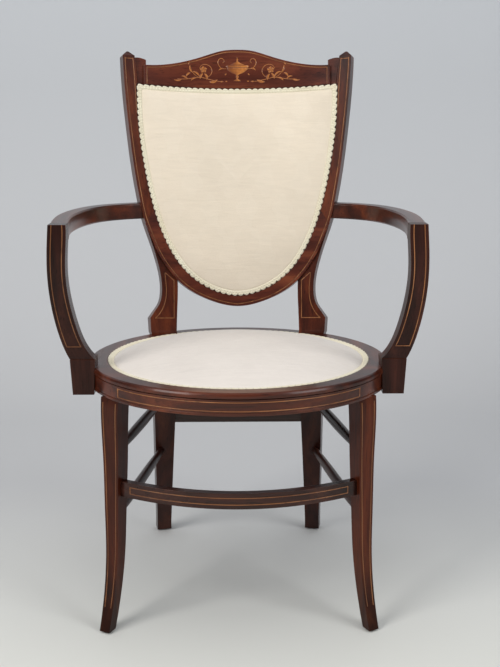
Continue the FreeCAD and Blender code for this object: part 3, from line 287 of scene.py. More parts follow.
streak = add_node(gn, "ShaderNodeTexNoise", Detail=7.0, Roughness=0.62, Distortion=0.5)
gl.new(entry.outputs["Vector"], streak.inputs["Vector"])
gl.new(entry.outputs["Streaks"], streak.inputs["Scale"])
cloud = add_node(gn, "ShaderNodeTexNoise", Scale=5.0, Detail=3.0, Roughness=0.5)
gl.new(entry.outputs["Vector"], cloud.inputs["Vector"])
pore = add_node(gn, "ShaderNodeTexNoise", Detail=2.0, Roughness=0.5)
gl.new(entry.outputs["Vector"], pore.inputs["Vector"])
gl.new(entry.outputs["Pores"], pore.inputs["Scale"])

low = add_node(gn, "ShaderNodeMapRange", **{"From Min": 0.34, "From Max": 0.54})
high = add_node(gn, "ShaderNodeMapRange", **{"From Min": 0.52, "From Max": 0.72})
gl.new(streak.outputs["Fac"], low.inputs["Value"])
gl.new(streak.outputs["Fac"], high.inputs["Value"])
dark_mix = add_node(gn, "ShaderNodeMix", data_type="RGBA")
light_mix = add_node(gn, "ShaderNodeMix", data_type="RGBA")
gl.new(entry.outputs["Dark"], dark_mix.inputs[6])
gl.new(entry.outputs["Middle"], dark_mix.inputs[7])
gl.new(low.outputs[0], dark_mix.inputs[0])
gl.new(dark_mix.outputs[2], light_mix.inputs[6])
gl.new(entry.outputs["Light"], light_mix.inputs[7])
gl.new(high.outputs[0], light_mix.inputs[0])

shade = add_node(gn, "ShaderNodeMapRange", **{"From Min": 0.3, "From Max": 0.7})
gl.new(cloud.outputs["Fac"], shade.inputs["Value"])
spread = add_node(gn, "ShaderNodeMath", operation="SUBTRACT")
spread.inputs[0].default_value = 1.0
gl.new(entry.outputs["Cloud"], spread.inputs[1])
gl.new(spread.outputs[0], shade.inputs["To Min"])
rise = add_node(gn, "ShaderNodeMath", operation="ADD")
rise.inputs[0].default_value = 1.0
gl.new(entry.outputs["Cloud"], rise.inputs[1])
gl.new(rise.outputs[0], shade.inputs["To Max"])

fleck = add_node(gn, "ShaderNodeMapRange", **{"From Min": 0.58, "From Max": 0.70})
gl.new(pore.outputs["Fac"], fleck.inputs["Value"])
fleck_shade = add_node(gn, "ShaderNodeMapRange", **{"To Min": 1.0, "To Max": 0.55})
gl.new(fleck.outputs[0], fleck_shade.inputs["Value"])
both = add_node(gn, "ShaderNodeMath", operation="MULTIPLY")
gl.new(shade.outputs[0], both.inputs[0])
gl.new(fleck_shade.outputs[0], both.inputs[1])
tint = add_node(gn, "ShaderNodeVectorMath", operation="SCALE")
gl.new(light_mix.outputs[2], tint.inputs[0])
gl.new(both.outputs[0], tint.inputs["Scale"])
gl.new(tint.outputs[0], leave.inputs["Color"])
gloss = add_node(gn, "ShaderNodeMapRange",
                 **{"From Min": 0.3, "From Max": 0.7, "To Min": 0.24, "To Max": 0.36})
gl.new(cloud.outputs["Fac"], gloss.inputs["Value"])
gl.new(gloss.outputs[0], leave.inputs["Roughness"])
sunk = add_node(gn, "ShaderNodeMath", operation="MULTIPLY")
sunk.inputs[1].default_value = -1.0
gl.new(fleck.outputs[0], sunk.inputs[0])
gl.new(sunk.outputs[0], leave.inputs["Height"])
print("grain nodes", len(gn))

# %% [markdown]
# Polished edges are never knife sharp: years of hands round them and rub the colour off.
# A Bevel node turns the normal near an edge, and how far it turns is a mask of the edge.

# %% Worn edge group
edge_group, entry, leave = new_group(
    "worn_edge", [("Radius", "NodeSocketFloat", 0.0012), ("Strength", "NodeSocketFloat", 1.0)],
    [("Mask", "NodeSocketFloat"), ("Normal", "NodeSocketVector")])
gn, gl = edge_group.nodes, edge_group.links
bevel = add_node(gn, "ShaderNodeBevel", samples=6)
gl.new(entry.outputs["Radius"], bevel.inputs["Radius"])
flat = add_node(gn, "ShaderNodeNewGeometry")
turn = add_node(gn, "ShaderNodeVectorMath", operation="DOT_PRODUCT")
gl.new(bevel.outputs[0], turn.inputs[0])
gl.new(flat.outputs["Normal"], turn.inputs[1])
mask = add_node(gn, "ShaderNodeMapRange", **{"From Min": 0.995, "From Max": 0.85})
gl.new(turn.outputs["Value"], mask.inputs["Value"])
part_of = add_node(gn, "ShaderNodeMath", operation="MULTIPLY")
gl.new(mask.outputs[0], part_of.inputs[0])
gl.new(entry.outputs["Strength"], part_of.inputs[1])
gl.new(part_of.outputs[0], leave.inputs["Mask"])
gl.new(bevel.outputs[0], leave.inputs["Normal"])
print("edge nodes", len(gn))

# %% [markdown]
# ## Woods
# One function makes every wood: it draws the grain out along one axis, rubs the edges and
# lays a clear coat over it. The pieces differ in tone, so there are three mahoganies, the
# yellow satinwood of the lines and plain beech inside. The darkest mahogany, on the
# stretchers, arm supports and side rods, is partly painted shade. On the legs a tint by
# height paints the shade that the photograph shows there, which lamps alone didn't give.

# %% Wood materials
MAHOGANY = {"Dark": (0.022, 0.0042, 0.0020, 1), "Middle": (0.064, 0.0118, 0.0042, 1),
            "Light": (0.140, 0.030, 0.0085, 1)}
CREST = {"Dark": (0.034, 0.0075, 0.0050, 1), "Middle": (0.096, 0.0205, 0.0105, 1),
         "Light": (0.185, 0.048, 0.019, 1)}
# a darker mahogany, partly painted shade, for the stretchers, arm supports and side rods
DARK_TONE_AND_PAINTED_SHADE = {"Dark": (0.012, 0.0036, 0.0028, 1), "Middle": (0.034, 0.0095, 0.0065, 1),
          "Light": (0.070, 0.021, 0.012, 1)}
SATINWOOD = {"Dark": (0.15, 0.050, 0.018, 1), "Middle": (0.26, 0.100, 0.036, 1),
             "Light": (0.36, 0.155, 0.060, 1)}
BEECH = {"Dark": (0.22, 0.13, 0.065, 1), "Middle": (0.36, 0.23, 0.12, 1),
         "Light": (0.46, 0.32, 0.18, 1)}
WORN = (0.15, 0.045, 0.020, 1)
COAT_ROUGHNESS = 0.12
PORE_DEPTH = 0.0004


def wood(name, colours, stretch, polish=0.18, shine=0.30, streaks=28.0, cloud=0.22, wear=0.35,
         edge=0.0012, relief=0.04, low=None):
    """Wood finish: grain drawn out along the axis whose stretch value is small. low gives
    painted shade on the lower part: a tint, and the heights where it begins and where it is full."""
    material, nodes, links, shader = new_material(name)
    place = add_node(nodes, "ShaderNodeTexCoord")
    draw_out = add_node(nodes, "ShaderNodeMapping", Scale=stretch)
    links.new(place.outputs["Object"], draw_out.inputs["Vector"])
    grain = place_group(nodes, grain_group, Streaks=streaks, Cloud=cloud, **colours)
    links.new(draw_out.outputs[0], grain.inputs["Vector"])
    edges = place_group(nodes, edge_group, Radius=edge, Strength=wear)
    rub = add_node(nodes, "ShaderNodeMix", data_type="RGBA")
    rub.inputs[7].default_value = WORN
    links.new(edges.outputs["Mask"], rub.inputs[0])
    links.new(grain.outputs["Color"], rub.inputs[6])
    # painted shade: the lower part of the piece is darkened by a tint on height
    if low:
        tint, begins, full = low
        axes = add_node(nodes, "ShaderNodeSeparateXYZ")
        links.new(place.outputs["Object"], axes.inputs[0])
        depth = add_node(nodes, "ShaderNodeMapRange", **{"From Min": begins, "From Max": full})
        links.new(axes.outputs["Z"], depth.inputs["Value"])
        painted_shade_mix = add_node(nodes, "ShaderNodeMix", data_type="RGBA", blend_type="MULTIPLY")
        painted_shade_mix.inputs[7].default_value = tint
        links.new(depth.outputs[0], painted_shade_mix.inputs[0])
        links.new(rub.outputs[2], painted_shade_mix.inputs[6])
        links.new(painted_shade_mix.outputs[2], shader.inputs["Base Color"])
    else:
        links.new(rub.outputs[2], shader.inputs["Base Color"])
    links.new(grain.outputs["Roughness"], shader.inputs["Roughness"])
    bump = add_node(nodes, "ShaderNodeBump", Strength=relief, Distance=PORE_DEPTH)
    links.new(grain.outputs["Height"], bump.inputs["Height"])
    links.new(edges.outputs["Normal"], bump.inputs["Normal"])
    links.new(bump.outputs[0], shader.inputs["Normal"])
    shader.inputs["Coat Weight"].default_value = polish
    shader.inputs["Coat Roughness"].default_value = COAT_ROUGHNESS
    shader.inputs["Specular IOR Level"].default_value = shine
    return material


ALONG_Z = (1.0, 1.0, 0.07)
ALONG_X = (0.07, 1.0, 1.0)
ALONG_Y = (1.0, 0.07, 1.0)
# painted shade: tints on height that darken the front legs towards the foot and the rear legs below the
# seat
FOOT_PAINTED_SHADE = (0.42, 0.62, 0.85, 1)
REAR_PAINTED_SHADE = (0.50, 0.62, 0.90, 1)
FRONT_SHADE_BEGINS, FRONT_SHADE_FULL = 0.16, 0.01
REAR_SHADE_BEGINS, REAR_SHADE_FULL = 0.43, 0.36
mahogany_front_leg = wood("mahogany_front_leg", MAHOGANY, ALONG_Z, polish=0.08, shine=0.16,
                          low=(FOOT_PAINTED_SHADE, FRONT_SHADE_BEGINS, FRONT_SHADE_FULL))
mahogany_rear_leg = wood("mahogany_rear_leg", MAHOGANY, ALONG_Z, polish=0.12, shine=0.22,
                         low=(REAR_PAINTED_SHADE, REAR_SHADE_BEGINS, REAR_SHADE_FULL))
# the stretcher, arm support and side rod woods use the darker mahogany, which is partly painted shade
mahogany_stretcher = wood("mahogany_stretcher", DARK_TONE_AND_PAINTED_SHADE, ALONG_X, polish=0.15, shine=0.25)
mahogany_shaded = wood("mahogany_shaded", DARK_TONE_AND_PAINTED_SHADE, ALONG_Z, polish=0.06, shine=0.14)
mahogany_crest = wood("mahogany_crest", CREST, ALONG_X, polish=0.15, shine=0.25)
mahogany_dull = wood("mahogany_dull", DARK_TONE_AND_PAINTED_SHADE, ALONG_Y, polish=0.0, shine=0.2)
mahogany_across = wood("mahogany_across", MAHOGANY, ALONG_X)
mahogany_deep = wood("mahogany_fore_and_aft", MAHOGANY, ALONG_Y)
satin_up = wood("satinwood_upright", SATINWOOD, ALONG_Z, wear=0.0, streaks=60.0)
satin_across = wood("satinwood_across", SATINWOOD, ALONG_X, wear=0.0, streaks=60.0)
beech = wood("plain_beech", BEECH, ALONG_X, polish=0.0, wear=0.0)
print("materials so far", len(bpy.data.materials))

# %% [markdown]
# ## Which wood goes where
# The grain of a real chair runs along each piece, because short grain snaps. Rails and
# stretchers that cross the chair take grain along x, arms and side rails along y, and legs
# and supports along z.


# %% Put the woods on the CAD pieces
def finish_node(name, material):
    """Give a CAD node one material in all its slots."""
    piece = cad_nodes[name]
    if not piece.material_slots:
        piece.data.materials.append(material)
    for slot in piece.material_slots:
        slot.material = material


for node in cad_nodes:
    base = node.replace("_left", "").replace("_right", "")
    if base == "rear_leg":
        finish_node(node, mahogany_rear_leg)
    elif base == "front_leg":
        finish_node(node, mahogany_front_leg)
    # stretchers, arm supports and side rods take the darker mahogany, which is partly painted shade
    elif node in ("front_stretcher", "rear_stretcher"):
        finish_node(node, mahogany_stretcher)
    elif base == "arm_support":
        finish_node(node, mahogany_shaded)
    elif "side_stretcher" in node:
        finish_node(node, mahogany_dull)
    elif node in ("crest_rail", "lower_shield_rail"):
        finish_node(node, mahogany_crest)
    elif base == "arm" or node in ("seat_rail_left", "seat_rail_right"):
        finish_node(node, mahogany_deep)
    elif node.endswith("stringing"):
        upright = node in ("stile_stringing", "support_stringing", "leg_stringing")
        finish_node(node, satin_up if upright else satin_across)
    elif node in ("glue_blocks", "rail_tenons", "arm_tenons"):
        finish_node(node, beech)
    else:
        finish_node(node, mahogany_across)
print("finished", len(cad_nodes), "nodes")

# %% [markdown]
# ## Curves that the pads and braids follow
# The back of the chair is part of a wide upright cylinder, leaned back. Outlines are
# drawn on it as x across and w up the slope, and a third number is the depth behind the
# face. The frame doesn't say where that cylinder lies, so its lean and radius repeat the
# values that the back was built from. The seat is an oval, measured from its own gimp.

# %% Back surface and seat oval
BACK_LEAN = math.radians(11.3)
BACK_RADIUS = 0.650
BACK_HOLLOW = 0.012
BACK_SETBACK = 0.165
BACK_DATUM = 0.430
REBATE_GAP = 0.0003

gimp_low, gimp_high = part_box("seat_gimp")
SEAT_Y = (gimp_low.y + gimp_high.y) / 2
SEAT_HALF_X = (gimp_high.x - gimp_low.x) / 2 + REBATE_GAP
SEAT_HALF_Y = (gimp_high.y - gimp_low.y) / 2 + REBATE_GAP
SEAT_FLOOR = gimp_low.z


def on_back(x, w, depth):
    """Point on the leaned cylinder: radius plus depth, turned by the angle whose sine is
    x over the radius, then tipped back about the x axis."""
    angle = np.arcsin(x / BACK_RADIUS)
    reach = BACK_RADIUS + depth
    y = reach * np.cos(angle) - BACK_RADIUS + BACK_HOLLOW
    lean_c, lean_s = math.cos(BACK_LEAN), math.sin(BACK_LEAN)
    return np.stack([reach * np.sin(angle), SEAT_Y + BACK_SETBACK + y * lean_c + w * lean_s,
                     BACK_DATUM - y * lean_s + w * lean_c], axis=-1)


print("seat centre y", round(SEAT_Y, 4), "floor", round(SEAT_FLOOR, 4))

# %% [markdown]
# ## The shield's outline
# A joiner draws a shield with a thin lath bent through a few pins. A natural cubic spline
# is that lath in numbers. Eight pins give one side, and the other is its mirror image.


# %% Smooth line through points
SPLINE_STEPS = 1200


def smooth_through(points, count):
    """Natural cubic spline: the second derivatives solve a three-band system, with none
    at the ends. It is sampled evenly along its length."""
    points = np.asarray(points, float)
    step = np.linalg.norm(np.diff(points, axis=0), axis=1)
    knots = np.concatenate([[0.0], np.cumsum(step)])
    size = len(points)
    matrix, right = np.eye(size), np.zeros_like(points)
    inner = np.arange(1, size - 1)
    matrix[inner, inner] = 2 * (step[:-1] + step[1:])
    matrix[inner, inner - 1] = step[:-1]
    matrix[inner, inner + 1] = step[1:]
    slope = np.diff(points, axis=0) / step[:, None]
    right[1:-1] = 6 * np.diff(slope, axis=0)
    bend = np.linalg.solve(matrix, right)
    t = np.linspace(0.0, knots[-1], SPLINE_STEPS)
    k = np.clip(np.searchsorted(knots, t) - 1, 0, size - 2)
    h = step[k][:, None]
    a = (knots[k + 1] - t)[:, None]
    b = (t - knots[k])[:, None]
    line = ((bend[k] * a ** 3 + bend[k + 1] * b ** 3) / (6 * h)
            + (points[k] / h - bend[k] * h / 6) * a + (points[k + 1] / h - bend[k + 1] * h / 6) * b)
    return even_steps(line, count)


def even_steps(line, count):
    """The same line with points at equal steps of its length."""
    run = np.concatenate([[0.0], np.cumsum(np.linalg.norm(np.diff(line, axis=0), axis=1))])
    want = np.linspace(0.0, run[-1], count)
    return np.stack([np.interp(want, run, line[:, i]) for i in range(line.shape[1])], axis=1)


SHIELD_SIDE = np.array([(0.0, 65.5), (55.0, 80.0), (97.0, 112.0), (129.0, 161.0),
                        (154.5, 233.0), (170.0, 308.0), (179.0, 380.0), (181.0, 448.0)]) / 1000
SHIELD_TOP = 0.448
SHIELD_HALF_TOP = 0.181
SHIELD_SAG = 0.004
SIDE_STEPS = 600


def shield_loop(inset, side_count, top_count):
    """Closed outline of the shield drawn in by a distance: the side moved along its
    normals up to the sagging top edge, and the same mirrored. Starts at the bottom."""
    whole = np.vstack([SHIELD_SIDE[::-1] * [-1, 1], SHIELD_SIDE[1:]])
    line = smooth_through(whole, 2 * SIDE_STEPS + 1)[SIDE_STEPS:]
    ahead = np.gradient(line, axis=0)
    ahead /= np.linalg.norm(ahead, axis=1)[:, None]
    line = line + np.stack([-ahead[:, 1], ahead[:, 0]], axis=1) * inset
    top = SHIELD_TOP - inset - SHIELD_SAG * (1 - (line[:, 0] / SHIELD_HALF_TOP) ** 2)
    over = np.argmax(line[:, 1] > top) or len(line)
    side = line[:over]
    corner_x = side[-1, 0]
    side = even_steps(np.vstack([side, [corner_x, top[over - 1]]]), side_count)
    top_x = np.linspace(corner_x, -corner_x, top_count)
    top_w = SHIELD_TOP - inset - SHIELD_SAG * (1 - (top_x / SHIELD_HALF_TOP) ** 2)
    edge = np.stack([top_x, top_w], axis=1)
    left = side[::-1] * [-1, 1]
    return np.vstack([side[:-1], edge[:-1], left[:-1]])


outline = shield_loop(0.0, 60, 40)
print("shield outline", outline.shape, outline.min(0).round(3), outline.max(0).round(3))

# %% [markdown]
# ## Stuffed pads
# Each pad is tacked down round its edge and rises over horsehair to a low crown. The
# surface is worked out as rings: a ring is the outline shrunk towards the middle, and its
# height follows a rounded shoulder at the rim plus a broad crown. Cloth simulation then
# blows the form up a little, so that it swells unevenly as real stuffing does.

# %% Rings of a pad
RING_COUNT = 34
RING_SPACING_POWER = 0.85
SHOULDER_POWER = 9.0
CROWN_POWER = 1.15


def ring_heights(side, crown):
    """Share of the outline for each ring, and its height: side times the root of one
    minus the share to a high power, plus crown times one minus the share squared."""
    share = np.sin(np.linspace(0.0, np.pi / 2, RING_COUNT))[::-1] ** RING_SPACING_POWER
    height = (side * np.sqrt(np.clip(1 - share ** SHOULDER_POWER, 0, 1))
              + crown * (1 - share ** 2) ** CROWN_POWER)
    return share, height


def closed_pad(name, front_rings, rear_rings):
    """Solid pad of two stacks of rings that share their outer ring; the innermost ring
    of each is a single point."""
    rings = np.concatenate([rear_rings[::-1], front_rings[1:]])
    count = rings.shape[1]
    points = np.vstack([rings[0].mean(0)[None], rings[1:-1].reshape(-1, 3),
                        rings[-1].mean(0)[None]])
    body = grid_faces(len(rings) - 2, count, closed_columns=True) + 1
    ring = np.arange(count)
    after = (ring + 1) % count
    last = len(points) - 1
    first_of_last = last - count
    start = [[0, int(b) + 1, int(a) + 1] for a, b in zip(ring, after)]
    end = [[last, first_of_last + int(a), first_of_last + int(b)] for a, b in zip(ring, after)]
    return make_piece(name, points, [list(map(int, quad)) for quad in body] + start + end)


print("rings to a pad", RING_COUNT)

# %% [markdown]
# ## Swelling by simulation
# Horsehair pushes a cover outwards everywhere, so cloth with air pressure behind it is a
# fair stand-in. The tacked rim is held. A voxel remesh is often made first, but it eats
# the thin rim of this pad, so the cloth runs on the rings themselves.


# %% Simulation that swells a pad
SWELL_FRAMES = 18
SHORTEST_MOVE = 1e-9
CLOTH_VALUES = {"use_pressure": True, "quality": 5, "mass": 0.3, "tension_stiffness": 12.0,
                "compression_stiffness": 8.0, "shear_stiffness": 6.0, "bending_stiffness": 2.0,
                "vertex_group_mass": "tacked"}


def swell(pad, free_rings, cap, pressure):
    """Let air pressure push the pad's cloth, hold all but its inner front rings, and keep
    each point within cap of where it began."""
    start = read_points(pad.data)
    group = pad.vertex_groups.new(name="tacked")
    per_ring = (len(start) - 2) // (2 * RING_COUNT - 3)
    group.add(list(range(len(start) - 1 - free_rings * per_ring)), 1.0, "REPLACE")
    cloth = pad.modifiers.new("air", "CLOTH")
    for key, value in CLOTH_VALUES.items():
        setattr(cloth.settings, key, value)
    cloth.settings.uniform_pressure_force = pressure
    cloth.settings.effector_weights.gravity = 0.0
    cloth.point_cache.frame_start = 1
    cloth.point_cache.frame_end = SWELL_FRAMES
    for number in range(1, SWELL_FRAMES + 1):
        bpy.context.scene.frame_set(number)
    evaluated = pad.evaluated_get(bpy.context.evaluated_depsgraph_get())
    moved = read_points(evaluated.data) - start
    pad.modifiers.remove(cloth)
    bpy.context.scene.frame_set(1)
    length = np.linalg.norm(moved, axis=1)
    keep = np.minimum(1.0, cap / np.maximum(length, SHORTEST_MOVE))
    write_points(pad.data, start + moved * keep[:, None])
    print(pad.name, "swelled by up to", round(float((length * keep).max()) * 1000, 1), "mm,",
          len(start), "points")


def read_points(mesh):
    """All points of a mesh as an array."""
    flat = np.empty(len(mesh.vertices) * 3)
    mesh.vertices.foreach_get("co", flat)
    return flat.reshape(-1, 3)


def write_points(mesh, points):
    """Move all points of a mesh."""
    mesh.vertices.foreach_set("co", np.ascontiguousarray(points).ravel())
    mesh.update()


print("frames of simulation", SWELL_FRAMES)

# %% [markdown]
# ## The two pads
# The back pad is thin and lies on the curved shield, and the seat pad is thicker and lies
# in its oval rebate. Both are the same rings, once on the cylinder and once on a level.


# %% Back pad
BACK_SIDE_POINTS, BACK_TOP_POINTS = 70, 60
PAD_INSET = 0.0092
PAD_SIDE = 0.0050
PAD_CROWN = 0.0120
PAD_REAR = 0.0018
PAD_MIDDLE = np.array([0.0, 0.275])


def back_rings(inset, side, crown, base, front=-1.0):
    """Rings on the shield: each outline point moves towards the middle by the ring's
    share, and its depth is the base less the ring's height."""
    loop = shield_loop(inset, BACK_SIDE_POINTS, BACK_TOP_POINTS)
    share, height = ring_heights(side, crown)
    flat = PAD_MIDDLE + (loop - PAD_MIDDLE)[None] * share[:, None, None]
    depth = np.repeat((base + front * height)[:, None], len(loop), 1)
    return on_back(flat[..., 0], flat[..., 1], depth)


back_front = back_rings(PAD_INSET, PAD_SIDE, PAD_CROWN, PAD_REAR)
back_rear = back_rings(PAD_INSET, 0.0, 0.0, PAD_REAR)
back_pad = closed_pad("back_pad", back_front, back_rear)
print("back pad points", len(back_pad.data.vertices))


# %% Seat pad
SEAT_PAD_INSET = 0.0092
SEAT_PAD_SIDE = 0.0075
SEAT_PAD_CROWN = 0.0235
SEAT_TACK_DEPTH = 0.0012
SEAT_POINTS = 144


def oval_loop(inset, count):
    """Points round the seat's oval, drawn in by a distance."""
    angle = np.linspace(0, 2 * np.pi, count, endpoint=False)
    return np.stack([(SEAT_HALF_X - inset) * np.cos(angle),
                     SEAT_Y + (SEAT_HALF_Y - inset) * np.sin(angle)], axis=1)


def seat_rings(loop, side, crown, base):
    """Rings on the seat: outline points moved towards the centre, raised by the ring."""
    share, height = ring_heights(side, crown)
    middle = np.array([0.0, SEAT_Y])
    flat = middle + (loop - middle)[None] * share[:, None, None]
    z = np.repeat((base + height)[:, None], len(loop), 1)
    return np.concatenate([flat, z[..., None]], axis=-1)


seat_base = SEAT_FLOOR - SEAT_TACK_DEPTH
seat_loop = oval_loop(SEAT_PAD_INSET, SEAT_POINTS)
seat_pad = closed_pad("seat_pad", seat_rings(seat_loop, SEAT_PAD_SIDE, SEAT_PAD_CROWN, seat_base),
                      seat_rings(seat_loop, 0.0, 0.0, seat_base))
print("seat pad points", len(seat_pad.data.vertices))


# %% Swell both pads
FREE_RINGS = RING_COUNT - 6
SEAT_CAP = 0.004
BACK_CAP = 0.003
PAD_PRESSURE = 3.0


def turn_outwards(piece, join=None):
    """Join points closer than join, where it is given, and turn all faces outwards."""
    work = bmesh.new()
    work.from_mesh(piece.data)
    if join:
        bmesh.ops.remove_doubles(work, verts=work.verts, dist=join)
    bmesh.ops.recalc_face_normals(work, faces=work.faces)
    work.to_mesh(piece.data)
    work.free()


turn_outwards(back_pad)
turn_outwards(seat_pad)
swell(seat_pad, FREE_RINGS, SEAT_CAP, PAD_PRESSURE)
swell(back_pad, FREE_RINGS, BACK_CAP, PAD_PRESSURE)
for pad in (seat_pad, back_pad):
    finer = pad.modifiers.new("finer", "SUBSURF")
    finer.levels = 1
    finer.render_levels = 1
    print(pad.name, "has", len(pad.data.polygons), "faces before its subdivision")

# %% [markdown]
# ## Damask
# The covers are a pale damask: the pattern is woven in the same colour as the ground and
# shows only because its threads catch the light another way. The pattern is a lattice of
# rounded leaves made from sines of the Object coordinates, and the weave is two sets of
# fine waves. The figure here is kept so close to the ground that it hardly shows.

# %% Damask group
SWAY = 1.2
SECOND_LEAF = 0.55
FULL_TURN = 6.283
THREAD_TONE, THREAD_RELIEF = 0.03, 0.10
SLUB_TONE, SLUB_RELIEF = 0.16, 1.6
FIGURE_RELIEF, FIGURE_GLOSS = 0.22, 0.22
GROUND_ROUGHNESS = 0.82
damask_group, entry, leave = new_group(
    "damask_weave",
    [("Vector", "NodeSocketVector", None), ("Ground", "NodeSocketColor", (0.7, 0.62, 0.52, 1)),
     ("Figure", "NodeSocketColor", (0.78, 0.71, 0.62, 1)), ("Repeat", "NodeSocketFloat", 95.0),
     ("Threads", "NodeSocketFloat", 900.0)],
    [("Color", "NodeSocketColor"), ("Roughness", "NodeSocketFloat"), ("Height", "NodeSocketFloat")])
gn, gl = damask_group.nodes, damask_group.links


def chain(operation, first, second=None):
    """Math node in the current group, fed by sockets or numbers."""
    node = gn.new("ShaderNodeMath")
    node.operation = operation
    for number, value in enumerate((first, second)):
        if value is None:
            continue
        if isinstance(value, (int, float)):
            node.inputs[number].default_value = value
        else:
            gl.new(value, node.inputs[number])
    return node.outputs[0]


warp = add_node(gn, "ShaderNodeTexNoise", Scale=16.0, Detail=2.0)
gl.new(entry.outputs["Vector"], warp.inputs["Vector"])
sway = chain("MULTIPLY", chain("SUBTRACT", warp.outputs["Fac"], 0.5), SWAY)
axes = add_node(gn, "ShaderNodeSeparateXYZ")
gl.new(entry.outputs["Vector"], axes.inputs[0])
across_phase = chain("ADD", chain("MULTIPLY", axes.outputs["X"], entry.outputs["Repeat"]), sway)
up_phase = chain("ADD", chain("MULTIPLY", axes.outputs["Y"], entry.outputs["Repeat"]), sway)
leaf_a = chain("MULTIPLY", chain("SINE", across_phase),
               chain("COSINE", chain("MULTIPLY", up_phase, 0.5)))
leaf_b = chain("MULTIPLY", chain("COSINE", chain("MULTIPLY", across_phase, 2.0)),
               chain("SINE", chain("MULTIPLY", up_phase, 1.5)))
motif = chain("ADD", leaf_a, chain("MULTIPLY", leaf_b, SECOND_LEAF))
figure = add_node(gn, "ShaderNodeMapRange", **{"From Min": 0.12, "From Max": 0.34})
gl.new(motif, figure.inputs["Value"])
thread_x, thread_y = [
    chain("SINE", chain("MULTIPLY", axes.outputs[axis],
                        chain("MULTIPLY", entry.outputs["Threads"], FULL_TURN)))
    for axis in ("X", "Y")]
weave = chain("MULTIPLY", thread_x, thread_y)
slub_axes = add_node(gn, "ShaderNodeMapping", Scale=(0.20, 1.4, 1.0))
gl.new(entry.outputs["Vector"], slub_axes.inputs["Vector"])
crease = add_node(gn, "ShaderNodeTexNoise", Scale=110.0, Detail=5.0, Roughness=0.6, Distortion=0.8)
gl.new(slub_axes.outputs[0], crease.inputs["Vector"])
slub = chain("MULTIPLY", chain("SUBTRACT", crease.outputs["Fac"], 0.5), SLUB_TONE)
stain = add_node(gn, "ShaderNodeTexNoise", Scale=7.0, Detail=3.0)
gl.new(entry.outputs["Vector"], stain.inputs["Vector"])
tone = add_node(gn, "ShaderNodeMix", data_type="RGBA")
gl.new(entry.outputs["Ground"], tone.inputs[6])
gl.new(entry.outputs["Figure"], tone.inputs[7])
gl.new(figure.outputs[0], tone.inputs[0])
fade = add_node(gn, "ShaderNodeMapRange",
                **{"From Min": 0.3, "From Max": 0.7, "To Min": 0.955, "To Max": 1.03})
gl.new(stain.outputs["Fac"], fade.inputs["Value"])
shaded = add_node(gn, "ShaderNodeVectorMath", operation="SCALE")
gl.new(tone.outputs[2], shaded.inputs[0])
threads = chain("ADD", chain("ADD", chain("MULTIPLY", weave, THREAD_TONE), 1.0), slub)
gl.new(chain("MULTIPLY", fade.outputs[0], threads), shaded.inputs["Scale"])
gl.new(shaded.outputs[0], leave.inputs["Color"])
gl.new(chain("SUBTRACT", GROUND_ROUGHNESS, chain("MULTIPLY", figure.outputs[0], FIGURE_GLOSS)),
       leave.inputs["Roughness"])
gl.new(chain("ADD", chain("MULTIPLY", weave, THREAD_RELIEF),
             chain("ADD", chain("MULTIPLY", crease.outputs["Fac"], SLUB_RELIEF),
                   chain("MULTIPLY", figure.outputs[0], FIGURE_RELIEF))), leave.inputs["Height"])
print("damask nodes", len(gn))

# %% [markdown]
# ## Cloth finishes
# Cloth is rough with a little sheen from its loose fibres. The seat lies level and the back
# stands, so the pattern's plane is turned to each piece before the weave is read.

# %% Cloth materials
WEAVE_DEPTH = 0.0006
SHEEN_ROUGHNESS = 0.4
CLOTH_SPECULAR = 0.25
LEVEL_PLANE = (0, 0, 0)
UPRIGHT_PLANE = (math.radians(-90) + BACK_LEAN, 0.0, 0.0)
SEAT_GROUND, SEAT_FIGURE = (0.700, 0.648, 0.598, 1), (0.706, 0.654, 0.604, 1)
BACK_GROUND, BACK_FIGURE = (0.705, 0.620, 0.505, 1), (0.712, 0.628, 0.513, 1)


def cloth_finish(name, ground, figure, turned, threads=900.0, sheen=0.25):
    """Woven cloth; turned swings the pattern's plane to the piece's own plane."""
    material, nodes, links, shader = new_material(name)
    place = add_node(nodes, "ShaderNodeTexCoord")
    swing = add_node(nodes, "ShaderNodeMapping", Rotation=turned)
    links.new(place.outputs["Object"], swing.inputs["Vector"])
    weave = place_group(nodes, damask_group, Ground=ground, Figure=figure, Threads=threads)
    links.new(swing.outputs[0], weave.inputs["Vector"])
    links.new(weave.outputs["Color"], shader.inputs["Base Color"])
    links.new(weave.outputs["Roughness"], shader.inputs["Roughness"])
    bump = add_node(nodes, "ShaderNodeBump", Strength=0.5, Distance=WEAVE_DEPTH)
    links.new(weave.outputs["Height"], bump.inputs["Height"])
    links.new(bump.outputs[0], shader.inputs["Normal"])
    shader.inputs["Sheen Weight"].default_value = sheen
    shader.inputs["Sheen Roughness"].default_value = SHEEN_ROUGHNESS
    shader.inputs["Specular IOR Level"].default_value = CLOTH_SPECULAR
    return material


seat_damask = cloth_finish("seat_damask", SEAT_GROUND, SEAT_FIGURE, LEVEL_PLANE)
back_damask = cloth_finish("back_damask", BACK_GROUND, BACK_FIGURE, UPRIGHT_PLANE)
seat_pad.data.materials.append(seat_damask)
back_pad.data.materials.append(back_damask)


def settle(piece, slot, *nodes):
    """Ride on the chair and stand for CAD nodes, which are hidden. slot is not used."""
    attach(piece, "root")
    if nodes:
        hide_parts(*nodes)


settle(seat_pad, "seat_fabric", "seat_cover", "seat_stuffing", "seat_hessian", "seat_webbing")
settle(back_pad, "back_fabric", "back_cover", "back_stuffing", "back_hessian", "back_webbing")
print("covers", seat_damask.name, back_damask.name)

# %% [markdown]
# ## Gimp
# The raw edge of each cover is hidden by gimp, a narrow braid of two cords that cross
# again and again over a flat tape, with small loops along the outer edge. The surface
# has one parameter along the outline and one across the braid, and the cords are two
# waves of the first parameter.

